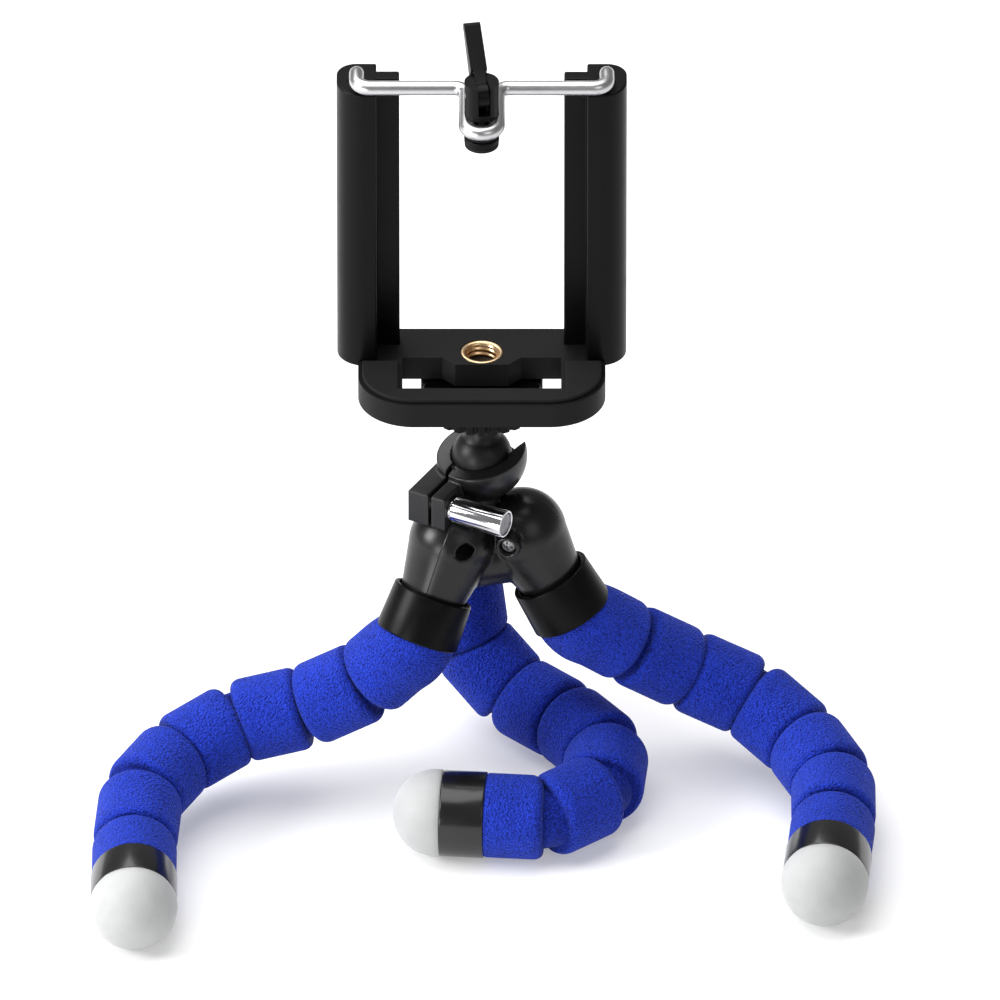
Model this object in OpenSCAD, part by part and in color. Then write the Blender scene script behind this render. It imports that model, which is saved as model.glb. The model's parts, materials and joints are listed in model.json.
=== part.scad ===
// Flexible leg tripod with a ball head and a sprung phone clip, one solid for each piece.
// Millimetres: x to the right, y away from the viewer, z up, the floor at z = 0.

/* [Place of the hub] */
// Hub axis to the right of the origin
hub_x = -0.4; // [-20:0.1:20]
// Hub axis behind the origin
hub_y = 26.6; // [0:0.1:60]

/* [Foam legs] */
// Radius of the foam sleeve
foam_radius = 9.1; // [8.4:0.1:9.3]
// Length of one foam link from groove to groove
link_length = 15.4; // [13:0.1:18]
// Length of the rear leg's first link, whose sleeve sits further out of its cup
rear_first_link = 21.4; // [18:0.1:24]
// Length of the last link up to the foot ring
last_link = 13; // [11:0.1:16]
// Rounding of the foam rims
foam_round = 1.8; // [0.8:0.1:2.6]
// Half of a groove's width
groove_half = 0.5; // [0.3:0.05:1]
// Bend that each groove has in hand beyond its rest bend, for the left, right and rear leg
spare_bend = [6, 6, 3]; // [0:1:10]
// Radius of the hole along the foam
foam_bore = 2; // [1.8:0.1:3]
// Radius of the bendable core wire
core_radius = 1.5; // [1:0.1:1.6]
// Start of the core wire from the domes' centres
core_start = 8; // [6:0.1:10]
// Free length of the foam's hole past the core wire's end
core_free = 2; // [1:0.1:4]

/* [Leg pose] */
// Headings of the left leg's links, seen from above
left_heading = [175, 175, 180, 210, 240, 265, 270]; // [0:5:360]
// Headings of the right leg's links
right_heading = [10, 15, 355, 320, 295, 270, 265]; // [0:5:360]
// Headings of the rear leg's links
rear_heading = [315, 330, 315, 305, 265, 220, 175]; // [0:5:360]
// Downward slopes of the left leg's links after the first
left_slope = [30, 15, 15, 5, 10, 0]; // [0:5:60]
// Downward slopes of the right leg's links after the first
right_slope = [35, 25, 20, 5, 0, 0]; // [0:5:60]
// Downward slope of the rear leg's first link, which sets the height of the hub
rear_first_slope = 80; // [60:5:85]
// Downward slopes of the rear leg's links after the first
rear_slope = [40, 0, 0, 0, 0, 0]; // [0:5:60]

/* [Feet] */
// Radius of the foot ring
ring_radius = 9.3; // [9:0.1:9.4]
// How far the foot tip stands out past its ring
tip_bulge = 0.1; // [0.05:0.05:0.6]
// Wall of the foot ring
ring_wall = 0.9; // [0.6:0.1:1.4]
// Length of the foot ring
ring_length = 9.5; // [7:0.1:12]
// Length of foam inside the foot ring
foam_tail = 5.6; // [4:0.1:6]
// Length of the tip's spigot inside the foot ring
tip_spigot = 3.4; // [2:0.1:3.6]
// Centre of the tip beyond the foot ring
tip_reach = 1.2; // [0.6:0.1:3]

/* [Hub] */
// Directions of the left, right and rear leg round the hub
leg_azimuth = [226, 346, 106]; // [0:1:360]
// Distance of the domes from the hub axis
dome_ring = 9; // [8.5:0.1:11]
// Radius of the domes
dome_radius = 9.5; // [8.8:0.1:10]
// Height of the ball above the domes' centres
dome_drop = 18; // [17.6:0.1:22]
// Lean of the necks from straight down
neck_lean = 30; // [20:1:40]
// Radius of the domes' shoulders at their domes
shoulder_radius = 9.2; // [8.6:0.1:9.3]
// Radius of the shoulders at the cups
shoulder_foot_radius = 6.9; // [6.6:0.1:7.2]
// Start of the shoulders from the domes' centres
shoulder_start = 2.1; // [1.5:0.1:2.3]
// Gap from a shoulder's end to the floor of its cup's recess
shoulder_gap = 0.9; // [0.5:0.1:1.4]
// Radius of the necks
neck_radius = 6; // [5:0.1:6.6]
// Length of the necks from the domes' centres
neck_length = 16.9; // [15:0.1:18]
// Distance from a dome's centre to the mouth of its cup
mouth_reach = 22.5; // [20:0.1:26]
// Radius of the hub's middle column
column_radius = 8; // [7:0.1:9]
// Depth of the column's top below the ball's centre
column_top = 11; // [10.4:0.1:12.5]
// Depth of the column's foot below the domes' centres
column_foot = 7; // [5:0.1:9]
// Width of the seam between the shells
seam = 0.1; // [0.05:0.05:0.3]
// Sideways place of the hub screws' middle
hub_screw_shift = 4.25; // [4:0.05:4.5]
// Half distance between the hub screws
hub_screw_side = 4.25; // [4:0.05:4.5]
// Depth of the hub screws below the ball
hub_screw_drop = 15.4; // [15:0.1:16]
// Forward reach of the hub screw bosses
hub_boss_reach = 11.6; // [11:0.1:12.6]
// Radius of the hub screw bosses
hub_boss_radius = 2.6; // [2.2:0.1:2.8]
// Radius of the hub screws' heads
hub_head_radius = 1.7; // [1.5:0.1:2]
// Thickness of the hub screws' heads
hub_head = 1.6; // [1:0.1:2]
// Depth of the hub screws' heads in their bosses
hub_head_depth = 2.4; // [1.8:0.1:3]
// Radius of the hub screws' shanks
hub_shank = 1; // [0.8:0.05:1.3]
// Reach of the hub screws into the rear shell
hub_shank_reach = 5; // [3:0.1:6]

/* [Leg cups] */
// Radius of a cup at its mouth
cup_mouth_radius = 9.2; // [8.6:0.1:10]
// Radius of a cup at its hub end
cup_hub_radius = 8.7; // [8.4:0.1:9]
// Length of a cup
cup_length = 10.3; // [9.6:0.1:11]
// Radius of the recess round the neck
cup_recess_radius = 7.6; // [7.4:0.1:7.8]
// Depth of the recess round the neck
cup_recess = 2.5; // [1:0.1:4]
// Gap from a cup's face to its groove
cup_face_gap = 0.2; // [0.1:0.05:0.4]

/* [Ball and collar] */
// Radius of the ball
ball_radius = 6.5; // [6:0.1:7]
// Thickness of the ball seat
seat_wall = 1; // [0.8:0.1:1.2]
// Depth of the seat's rim below the ball's centre
seat_rim = 0.6; // [0.4:0.1:1]
// Wall of the collar outside the seat
collar_wall = 2.1; // [1.6:0.1:2.3]
// Height of the collar's rim above the ball's centre, on the hub axis
collar_rim = 1.3; // [0.8:0.1:1.8]
// Tilt of the collar's rim
rim_tilt = 13; // [0:1:14]
// Direction in which the rim rises
rim_azimuth = 36; // [20:1:60]
// Depth of the collar's notch below the ball's centre
collar_notch = 2.4; // [1:0.1:3]
// Half width of the notch
notch_half = 5.6; // [4:0.1:6]
// Direction of the notch round the hub
notch_azimuth = 43; // [30:1:60]
// Radius of the collar's spigot in the hub
spigot_radius = 5; // [4:0.1:5.6]
// Depth of the spigot's end below the ball's centre
spigot_depth = 13.5; // [12:0.1:14.5]
// Direction of the clamp ears round the hub
ear_azimuth = 241; // [230:1:250]
// Distance of the clamp screw from the hub axis
clamp_reach = 13; // [12.6:0.1:13.4]
// Depth of the clamp screw below the ball's centre
clamp_drop = 6.3; // [6:0.1:6.4]
// Reach of the clamp ears from the hub axis
ear_reach = 16.6; // [15.8:0.1:17.5]
// Width of the slit between the ears
slit_width = 0.7; // [0.5:0.1:1]
// Thickness of the ear under the screw's head
near_ear = 3.3; // [2.8:0.1:4]
// Thickness of the ear with the nut
far_ear = 4.9; // [4.4:0.1:6]
// Half height of the ears
ear_half = 3.9; // [3.6:0.1:4.2]

/* [Clamp screw] */
// Radius of the screw's long head
clamp_head_radius = 3; // [2.4:0.1:3]
// Length of the screw's head
clamp_head = 12.4; // [10:0.1:15]
// Radius of the screw's shank
clamp_shank = 1.5; // [1.2:0.05:1.7]
// Thickness of the washer
washer = 0.7; // [0.5:0.1:1]
// How far the washer's rim lies inside the screw's head
washer_inset = 0.3; // [0.2:0.1:0.6]
// Width of the nut across its flats
nut_flats = 5.5; // [5:0.1:6]
// Thickness of the nut
nut = 2.3; // [2:0.1:2.6]

/* [Stem and lock wheel] */
// Radius of the stem
stem_radius = 3.2; // [2.8:0.05:3.4]
// Radius of the camera thread
thread_radius = 3.1; // [2.8:0.05:3.15]
// Height of the clip's floor above the ball's centre
clip_rise = 26.4; // [25:0.1:29]
// Free depth of the thread hole above the stud
thread_free = 3; // [2:0.1:4]
// Radius of the lock wheel
wheel_radius = 12.6; // [11:0.1:14]
// Thickness of the lock wheel
wheel = 7; // [5:0.1:8]
// Gap from the lock wheel to the clip base
wheel_gap = 0.8; // [0.4:0.1:0.95]
// Number of grip notches round the wheel
wheel_notches = 30; // [20:1:36]
// Radius of the grip notches
notch_radius = 0.8; // [0.5:0.05:1]

/* [Clip base] */
// Half width of the base plate
base_half = 26.5; // [25:0.1:28]
// Forward reach of the base plate from the thread
base_front = 21.5; // [20.5:0.1:24]
// Rear reach of the base plate and the rails from the thread
base_rear = 9.1; // [8.6:0.1:10]
// Thickness of the base plate
base_thick = 5.5; // [4.8:0.1:7]
// Radius of the front corners
front_corner = 12; // [8:0.1:13]
// Radius of the rear corners
rear_corner = 2; // [1:0.1:3]
// Half width of the slot
slot_half = 17; // [15.5:0.1:17.2]
// Forward edge of the slot from the thread
slot_front = 15; // [13.5:0.1:16]
// Rear edge of the slot from the thread
slot_rear = 2.4; // [2:0.1:3]
// Forward reach of the boss round the thread
boss_reach = 5.2; // [5:0.1:7]
// Half width of the boss at its front
boss_front_half = 5.7; // [5:0.1:6.5]
// Half width of the boss at the slot's rear edge
boss_rear_half = 8.5; // [7.5:0.1:10]
// Radius of the brass insert
insert_radius = 4.6; // [4.2:0.1:4.8]
// Radius of the insert's hole
insert_bore = 3.2; // [3.18:0.01:3.4]
// Thickness of the grip pad
pad_thick = 1; // [0.6:0.1:1.6]
// Margin of the grip pad from the plate's edges
pad_margin = 0.9; // [0.5:0.1:1.4]
// Rear end of the pad's side arms from the thread
pad_rear = 5; // [4.6:0.1:9]

/* [Rails] */
// Outer half width of the rails
rail_outer = 31; // [30.6:0.1:33]
// Inner half width of the rails
rail_inner = 22.5; // [21.5:0.1:22.9]
// Inner half width of the rails' flanges
flange_inner = 17.6; // [17.5:0.1:19]
// Front face of the flanges behind the thread
flange_front = 2.8; // [2.4:0.1:3.4]
// Thickness of the flanges
flange_thick = 3.2; // [2.4:0.1:3.6]
// Front face of the rails before the thread
rail_front = 4; // [3.4:0.1:4.6]
// Depth of the rails' seats in the base plate
rail_seat = 1.3; // [0.8:0.1:1.8]
// Height of the rails' tops above the clip's floor
rail_top = 67.4; // [64:0.1:72]
// Rounding of the rails' front outer corners
rail_front_round = 6; // [4:0.1:6.4]
// Rounding of the rails' rear outer corners
rail_rear_round = 4.2; // [3:0.1:4.4]
// Length of the guide hole at the top of a rail
guide_length = 5.4; // [4:0.1:8]
// Radius of the spring chamber in a rail
chamber_radius = 3.2; // [3.15:0.05:3.4]
// Floor of the spring chamber above the clip's floor
chamber_floor = 8; // [5:0.1:12]

/* [Bail] */
// Radius of the bail's wire
wire_radius = 1.6; // [1.4:0.05:1.7]
// Distance of the bail's legs from the middle
bail_leg_x = 26.7; // [26.3:0.1:27.2]
// Place of the bail's legs behind the thread
bail_leg_y = 2; // [1.6:0.1:2.4]
// Height of the bail's upper wire above the rails
bail_rise = 3.2; // [3.1:0.1:5]
// Place of the cross runs before the thread
cross_y = 5.9; // [5.6:0.1:7]
// Middle of the loop's arc before the thread
loop_y = 20.6; // [19.5:0.1:22]
// Inner half width of the loop
loop_inner = 1.75; // [1.65:0.05:2]
// Radius of the bends at the bail's legs
leg_bend = 3; // [2.4:0.1:3]
// Radius of the bends into the loop
loop_bend = 2.6; // [2.2:0.1:3.4]
// Height of the bail's hidden ends above the clip's floor
bail_foot = 17; // [14:0.1:19]

/* [Springs] */
// Thickness of the retainers on the bail's ends
retainer = 2.5; // [1.5:0.1:3]
// Height of the retainers' undersides above the bail's ends
retainer_rise = 0.5; // [0.2:0.1:1]
// Radius of the springs' wire
spring_wire = 0.4; // [0.3:0.05:0.45]
// Radius of the springs' coils
spring_coil = 2.4; // [2.35:0.05:2.5]
// Number of curls
spring_curls = 9; // [6:1:9]

/* [Press bush] */
// Radius of the bush
bush_radius = 3.7; // [3.4:0.1:4]
// Radius of the bush's neck in the loop
bush_neck = 1.55; // [1.5:0.05:1.6]
// Place of the bush before the thread
bush_y = 18.8; // [18.2:0.1:19.4]
// Turn of the bush at rest
bush_turn = 10; // [0:1:20]
// Thickness of the flange under the wire
bush_flange = 1.6; // [1.2:0.1:2]
// Height of the bush's head
bush_head = 8; // [7.4:0.1:9]
// Depth of the lever's slot in the bush's head
bush_slot = 6.6; // [6.2:0.1:6.8]
// Gap of the neck above and below the wire
bush_slack = 0.2; // [0.1:0.05:0.3]

/* [Lever and foot] */
// Width of the lever's blade
lever_thick = 3.6; // [3:0.1:4]
// Width of the lever's cam between the bush's cheeks
cam_thick = 2.4; // [2:0.1:2.8]
// Radius of the lever's cam
cam_radius = 2.6; // [2.4:0.1:2.7]
// Offset of the cam from its pin
cam_offset = 0.8; // [0.4:0.1:0.9]
// Height of the lever's pin above the slot's floor
pin_rise = 3.6; // [3.55:0.05:3.9]
// Radius of the lever's pin
pin_radius = 0.8; // [0.6:0.05:1]
// Length of the lever
lever_length = 16; // [13:0.1:20]
// Distance from the pin to the blade's shoulders
blade_start = 4.7; // [4.6:0.1:6]
// Half depth of the blade at its shoulders
blade_root = 1.9; // [1.6:0.1:2]
// Radius of the blade's round end
blade_tip = 1; // [0.8:0.1:1.2]
// Rise of the blade's end from the lever's line
blade_lift = 2; // [1:0.1:2.4]
// Lean of the lever above level at rest
lever_lean = 30; // [25:1:45]
// Gap from the cam to the foot's stem at rest
cam_gap = 0.12; // [0.12:0.01:0.2]
// Radius of the foot's stem
foot_stem = 0.8; // [0.6:0.05:0.9]
// Radius of the press foot
foot_radius = 3.75; // [3.4:0.05:4]
// Thickness of the press foot
foot_thick = 1.5; // [1:0.1:2]
// Thickness of the pad under the foot
foot_pad_thick = 1; // [0.6:0.1:1.6]
// Gap from the foot to the bush
foot_gap = 0.3; // [0.2:0.05:0.5]

/* [Fits] */
// Radial clearance of parts that turn or slide
run_gap = 0.1; // [0.05:0.01:0.1]
// Radial clearance of parts that are pressed or bonded
fit_gap = 0.02; // [0.01:0.01:0.03]
// Clearance round the domes for the clamp ears
dome_gap = 0.3; // [0.2:0.05:0.4]

/* [Hidden] */
$fn = 64;
left = 0;
right = 1;
rear = 2;
links = 7;
core_sides = 8;
spring_sides = 6;
spring_rings = 8;
round_step = 30;
past = 1;
reach = 60;

// Leg paths: directions and groove centres
headings = [left_heading, right_heading, rear_heading];
later_slopes = [left_slope, right_slope, rear_slope];
function unit(v) = v / norm(v);
function toward(heading, slope) = [cos(slope) * cos(heading), cos(slope) * sin(heading), -sin(slope)];
function first_length(leg) = leg == rear ? rear_first_link : link_length;
function link_span(leg, i) = i == 0 ? first_length(leg) : i == links - 1 ? last_link : link_length;
function fall(leg, i = 0) = i == links - 1 ? 0
    : link_span(leg, i + 1) * sin(later_slopes[leg][i]) + fall(leg, i + 1);
drop = rear_first_link * sin(rear_first_slope) + fall(rear);
steepest = 0.98;
function first_slope(leg) = leg == rear ? rear_first_slope
    : asin(max(-steepest, min(steepest, (drop - fall(leg)) / first_length(leg))));
function slope(leg, i) = i == 0 ? first_slope(leg) : later_slopes[leg][i - 1];
function neck_way(leg) = toward(leg_azimuth[leg], 90 - neck_lean);
function way(leg, i) = i < 0 ? neck_way(leg) : toward(headings[leg][i], slope(leg, i));
tip_radius = ring_radius + tip_bulge;
mouth_height = tip_radius + drop;
ball_height = mouth_height + dome_drop + mouth_reach * cos(neck_lean);
dome_height = ball_height - dome_drop;
function dome_at(leg) = [dome_ring * cos(leg_azimuth[leg]), dome_ring * sin(leg_azimuth[leg]), dome_height];
function groove(leg, i) = i == 0 ? dome_at(leg) + mouth_reach * neck_way(leg)
    : groove(leg, i - 1) + link_span(leg, i - 1) * way(leg, i - 1);
function bend_axis(leg, i) = unit(cross(way(leg, i - 1), way(leg, i)));
function bend(leg, i) = acos(way(leg, i - 1) * way(leg, i));
function wedge(leg, i) = (i == 0 ? 1 : 0.5) * (bend(leg, i) + spare_bend[leg]);

// Heights and places that follow from the sizes
seat_inner = ball_radius + run_gap;
seat_outer = seat_inner + seat_wall;
collar_inner = seat_outer + run_gap;
collar_outer = collar_inner + collar_wall;
clip_height = ball_height + clip_rise;
wheel_top = ball_height + clip_rise - base_thick - wheel_gap;
clamp_turn = ear_azimuth + 90;
slit_start = -near_ear;
far_start = slit_start - slit_width;
far_end = far_start - far_ear;
wire_height = rail_top + bail_rise;
cup_foot = mouth_reach - cup_face_gap - cup_length;
shoulder_end = cup_foot + cup_recess - shoulder_gap;
loop_half = loop_inner + wire_radius;
guide_floor = rail_top - guide_length;
spring_floor = bail_foot + retainer_rise + retainer;
flange_top = wire_height - wire_radius - bush_slack;
head_floor = wire_height + wire_radius + bush_slack;
slot_floor = head_floor + bush_head - bush_slot;
pin_height = slot_floor + pin_rise;
stem_top = pin_height - cam_radius - cam_gap;
foot_top = flange_top - bush_flange - foot_gap;
spigot_fit = ring_radius - ring_wall - fit_gap;
function side(leg) = leg == left ? -1 : 1;

// Frames
module at_hub() { translate([hub_x, hub_y, 0]) children(); }
module at_clip() { at_hub() translate([0, 0, clip_height]) children(); }
module at_bush() { at_clip() translate([0, -bush_y, 0]) rotate([0, 0, bush_turn]) children(); }
module along(origin, x, z) {
    y = cross(z, x);
    multmatrix([[x[0], y[0], z[0], origin[0]], [x[1], y[1], z[1], origin[1]], [x[2], y[2], z[2], origin[2]]])
        children();
}
// Clamp frame: x along the screw toward its head, y out along the ears, z up from the ball's centre
module at_clamp() { at_hub() translate([0, 0, ball_height]) rotate([0, 0, clamp_turn])
    mirror([0, 1, 0]) children(); }
module at_shells() { at_hub() rotate([0, 0, leg_azimuth[right] - 360]) children(); }
module neck_frame(leg) { at_hub() along(dome_at(leg), side_way(leg), neck_way(leg)) children(); }
function side_way(leg) = [-sin(leg_azimuth[leg]), cos(leg_azimuth[leg]), 0];
module link_frame(leg, i) {
    level = [sin(headings[leg][i]), -cos(headings[leg][i]), 0];
    at_hub() along(groove(leg, i), level, way(leg, i)) children();
}

// Clip base
module plate_outline() {
    middle = base_half - front_corner;
    rear_middle = base_half - rear_corner;
    translate([-base_half, front_corner - base_front])
        square([2 * base_half, base_front + base_rear - front_corner - rear_corner]);
    translate([-middle, -base_front]) square([2 * middle, front_corner]);
    translate([-rear_middle, base_rear - rear_corner]) square([2 * rear_middle, rear_corner]);
    for (x = [-1, 1]) {
        translate([x * middle, front_corner - base_front]) circle(front_corner);
        translate([x * rear_middle, base_rear - rear_corner]) circle(rear_corner);
    }
}
module slot_outline() {
    difference() {
        translate([-slot_half, -slot_front]) square([2 * slot_half, slot_front - slot_rear]);
        polygon([[-boss_rear_half, 0], [-boss_rear_half, -slot_rear], [-boss_front_half, -boss_reach],
            [boss_front_half, -boss_reach], [boss_rear_half, -slot_rear], [boss_rear_half, 0]]);
    }
}
module rail_seats() {
    for (x = [0, 1]) mirror([x, 0, 0]) translate([0, 0, -rail_seat]) {
        translate([rail_inner - fit_gap, -rail_front - fit_gap, 0])
            cube([rail_outer, rail_front + base_rear + past, rail_seat + past]);
        translate([flange_inner - fit_gap, flange_front - fit_gap, 0])
            cube([rail_inner - flange_inner + past, flange_thick + 2 * fit_gap, rail_seat + past]);
    }
}
module clip_base() {
    color([0.07, 0.07, 0.07]) at_clip() difference() {
        translate([0, 0, -base_thick]) linear_extrude(base_thick) difference() {
            plate_outline();
            slot_outline();
            circle(insert_radius);
        }
        rail_seats();
    }
}
module thread_insert() {
    color([0.78, 0.6, 0.25]) at_clip() translate([0, 0, -base_thick]) linear_extrude(base_thick)
        difference() {
            circle(insert_radius - fit_gap);
            circle(insert_bore);
        }
}
module grip_pad() {
    half = base_half - pad_margin;
    front = base_front - pad_margin;
    corner = front_corner - pad_margin;
    inner_half = slot_half + pad_margin;
    inner_front = slot_front + pad_margin;
    color([0.05, 0.05, 0.05]) at_clip() translate([0, 0, fit_gap]) linear_extrude(pad_thick) difference() {
        union() {
            translate([-half, corner - front]) square([2 * half, front - corner - pad_rear]);
            translate([corner - half, -front]) square([2 * (half - corner), corner]);
            for (x = [-1, 1]) translate([x * (half - corner), corner - front]) circle(corner);
        }
        translate([-inner_half, -inner_front]) square([2 * inner_half, reach]);
        translate([-reach, -pad_rear]) square([2 * reach, reach]);
    }
}

// Rails
module rail_outline() {
    front_middle = [rail_outer - rail_front_round, rail_front_round - rail_front];
    rear_middle = [rail_outer - rail_rear_round, base_rear - rail_rear_round];
    intersection() {
        translate([rail_inner, -rail_front]) square([rail_outer - rail_inner, rail_front + base_rear]);
        union() {
            translate(front_middle) circle(rail_front_round);
            translate(rear_middle) circle(rail_rear_round);
            translate([rail_inner, -rail_front])
                square([front_middle[0] - rail_inner, rail_front + rear_middle[1]]);
            translate([rail_inner, front_middle[1]])
                square([rear_middle[0] - rail_inner, base_rear - front_middle[1]]);
            translate([rail_inner, front_middle[1]])
                square([rail_outer - rail_inner, rear_middle[1] - front_middle[1]]);
        }
    }
    translate([flange_inner, flange_front]) square([rail_inner - flange_inner + past, flange_thick]);
}
module rail(which) {
    color([0.06, 0.06, 0.06]) at_clip() mirror([which == left ? 1 : 0, 0, 0]) difference() {
        translate([0, 0, fit_gap - rail_seat]) linear_extrude(rail_top + rail_seat - fit_gap) rail_outline();
        translate([bail_leg_x, bail_leg_y, chamber_floor]) {
            cylinder(r = chamber_radius, h = guide_floor - chamber_floor);
            cylinder(r = wire_radius + run_gap, h = rail_top);
        }
    }
}
module left_rail() { rail(left); }
module right_rail() { rail(right); }

// Bail with its retainers and springs
module wire(length) { cylinder(r = wire_radius, h = length); }
module wire_bend(radius, turn) { rotate_extrude(angle = turn) translate([radius, 0]) circle(wire_radius); }
module bail_half() {
    cross_start = bail_leg_x - leg_bend;
    cross_end = loop_half + loop_bend;
    translate([bail_leg_x, bail_leg_y, bail_foot]) wire(wire_height - leg_bend - bail_foot);
    translate([bail_leg_x, bail_leg_y - leg_bend, wire_height - leg_bend]) rotate([90, 0, 90])
        wire_bend(leg_bend, 90);
    translate([bail_leg_x, bail_leg_y - leg_bend, wire_height]) rotate([90, 0, 0])
        wire(bail_leg_y + cross_y - 2 * leg_bend);
    translate([cross_start, leg_bend - cross_y, wire_height]) rotate([0, 0, -90]) wire_bend(leg_bend, 90);
    translate([cross_end, -cross_y, wire_height]) rotate([0, 90, 0]) wire(cross_start - cross_end);
    translate([cross_end, -cross_y - loop_bend, wire_height]) rotate([0, 0, 90]) wire_bend(loop_bend, 90);
    translate([loop_half, -cross_y - loop_bend, wire_height]) rotate([90, 0, 0])
        wire(loop_y - cross_y - loop_bend);
}
module bail() {
    color([0.8, 0.8, 0.82]) at_clip() {
        bail_half();
        mirror([1, 0, 0]) bail_half();
        translate([0, -loop_y, wire_height]) rotate([0, 0, 180]) wire_bend(loop_half, 180);
    }
}
module bail_retainers() {
    color([0.6, 0.6, 0.62]) at_clip() for (x = [-1, 1])
        translate([x * bail_leg_x, bail_leg_y, bail_foot + retainer_rise]) linear_extrude(retainer)
            difference() {
                circle(chamber_radius - run_gap);
                circle(wire_radius + fit_gap);
            }
}
module coil(low, high) {
    rings = spring_curls * spring_rings;
    climb = (high - low) / (360 * spring_curls);
    points = [for (k = [0 : rings]) let (turn = 360 * k / spring_rings, out = [cos(turn), sin(turn), 0],
        run = unit([-spring_coil * sin(turn), spring_coil * cos(turn), climb * 180 / PI]),
        up = cross(out, run))
        for (s = [0 : spring_sides - 1]) let (a = 360 * s / spring_sides)
            (spring_coil + spring_wire * cos(a)) * out + [0, 0, low + climb * turn]
                + spring_wire * sin(a) * up];
    polyhedron(points, tube_faces(rings, spring_sides));
}
function tube_faces(rings, sides) = concat([[for (s = [0 : sides - 1]) s]],
    [for (k = [0 : rings - 1], s = [0 : sides - 1]) let (a = k * sides + s, b = k * sides + (s + 1) % sides)
        each [[a, a + sides, b], [b, a + sides, b + sides]]],
    [[for (s = [sides - 1 : -1 : 0]) rings * sides + s]]);
module spring(which) {
    ends = spring_wire + run_gap;
    color([0.6, 0.6, 0.62]) at_clip() translate([side(which) * bail_leg_x, bail_leg_y, 0])
        coil(spring_floor + ends, guide_floor - ends);
}
module left_spring() { spring(left); }
module right_spring() { spring(right); }

// Press bush, lever and foot
module press_bush() {
    slot_wide = cam_thick + 2 * run_gap;
    color([0.06, 0.06, 0.06]) at_bush() difference() {
        union() {
            translate([0, 0, flange_top - bush_flange]) cylinder(r = bush_radius, h = bush_flange);
            translate([0, 0, flange_top - past])
                cylinder(r = bush_neck, h = head_floor - flange_top + 2 * past);
            translate([0, 0, head_floor]) cylinder(r = bush_radius, h = bush_head);
        }
        translate([-slot_wide / 2, -reach, slot_floor]) cube([slot_wide, 2 * reach, reach]);
        translate([0, 0, flange_top - bush_flange - past]) cylinder(r = foot_stem + run_gap, h = reach);
        translate([-reach, 0, pin_height]) rotate([0, 90, 0])
            cylinder(r = pin_radius + fit_gap, h = 2 * reach);
    }
}
module lever_pin() {
    half = sqrt(bush_radius * bush_radius - pin_radius * pin_radius) - fit_gap;
    color([0.6, 0.6, 0.62]) at_bush() translate([-half, 0, pin_height]) rotate([0, 90, 0])
        cylinder(r = pin_radius, h = 2 * half);
}
module cam_outline() {
    difference() {
        union() {
            rotate(-lever_lean) translate([-cam_offset, 0]) circle(cam_radius);
            translate([0, -blade_root]) square([blade_start + past, 2 * blade_root]);
        }
        circle(pin_radius + run_gap);
    }
}
module blade_outline() {
    end = lever_length - blade_tip;
    polygon([[blade_start, -blade_root], [end, blade_lift - blade_tip], [end, blade_lift + blade_tip],
        [blade_start, blade_root]]);
    translate([end, blade_lift]) circle(blade_tip);
}
module cam_lever() {
    color([0.05, 0.05, 0.05]) at_bush() translate([0, 0, pin_height]) rotate([lever_lean, 0, 0])
        rotate([90, 0, 90]) {
            translate([0, 0, -cam_thick / 2]) linear_extrude(cam_thick) cam_outline();
            translate([0, 0, -lever_thick / 2]) linear_extrude(lever_thick) blade_outline();
        }
}
module press_foot() {
    color([0.07, 0.07, 0.07]) at_bush() {
        translate([0, 0, foot_top - foot_thick]) cylinder(r = foot_radius, h = foot_thick);
        translate([0, 0, foot_top - foot_thick / 2])
            cylinder(r = foot_stem, h = stem_top - foot_top + foot_thick / 2);
    }
}
module foot_pad() {
    color([0.04, 0.04, 0.04]) at_bush() translate([0, 0, foot_top - foot_thick - foot_pad_thick - fit_gap])
        cylinder(r = foot_radius - run_gap, h = foot_pad_thick);
}

// Ball, stem and lock wheel
module at_ball() { at_hub() translate([0, 0, ball_height]) children(); }
module ball_stud() {
    color([0.2, 0.2, 0.21]) at_ball() {
        sphere(ball_radius);
        cylinder(r = stem_radius, h = clip_rise - base_thick - run_gap);
        cylinder(r = thread_radius, h = clip_rise - thread_free);
    }
}
module lock_wheel() {
    color([0.06, 0.06, 0.06]) at_hub() translate([0, 0, wheel_top - wheel]) linear_extrude(wheel)
        difference() {
            circle(wheel_radius);
            circle(stem_radius + run_gap);
            for (i = [1 : wheel_notches]) rotate(360 * i / wheel_notches) translate([wheel_radius, 0])
                circle(notch_radius);
        }
}
module ball_seat() {
    color([0.08, 0.08, 0.08]) at_ball() difference() {
        sphere(seat_outer);
        sphere(seat_inner);
        translate([-reach / 2, -reach / 2, -seat_rim]) cube(reach);
    }
}

// Collar and clamp screw
module at_screw() { at_clamp() translate([0, clamp_reach, -clamp_drop]) rotate([0, 90, 0]) children(); }
module collar_block() {
    sphere(collar_outer);
    translate([0, 0, -spigot_depth]) cylinder(r = spigot_radius, h = spigot_depth - collar_inner);
}
module collar_room() {
    sphere(seat_inner);
    difference() {
        sphere(collar_inner);
        translate([-reach / 2, -reach / 2, run_gap - seat_rim]) cube(reach);
    }
    rotate([0, 0, rim_azimuth]) translate([0, 0, collar_rim]) rotate([0, -rim_tilt, 0])
        translate([-reach / 2, -reach / 2, 0]) cube(reach);
    rotate([0, 0, notch_azimuth]) translate([0, -notch_half, -collar_notch])
        cube([reach, 2 * notch_half, reach]);
}
module clamp_ears() {
    for (ear = [[slit_start, near_ear], [far_end, far_ear]])
        translate([ear[0], slit_width, -clamp_drop - ear_half])
            cube([ear[1], ear_reach - slit_width, 2 * ear_half]);
}
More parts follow.
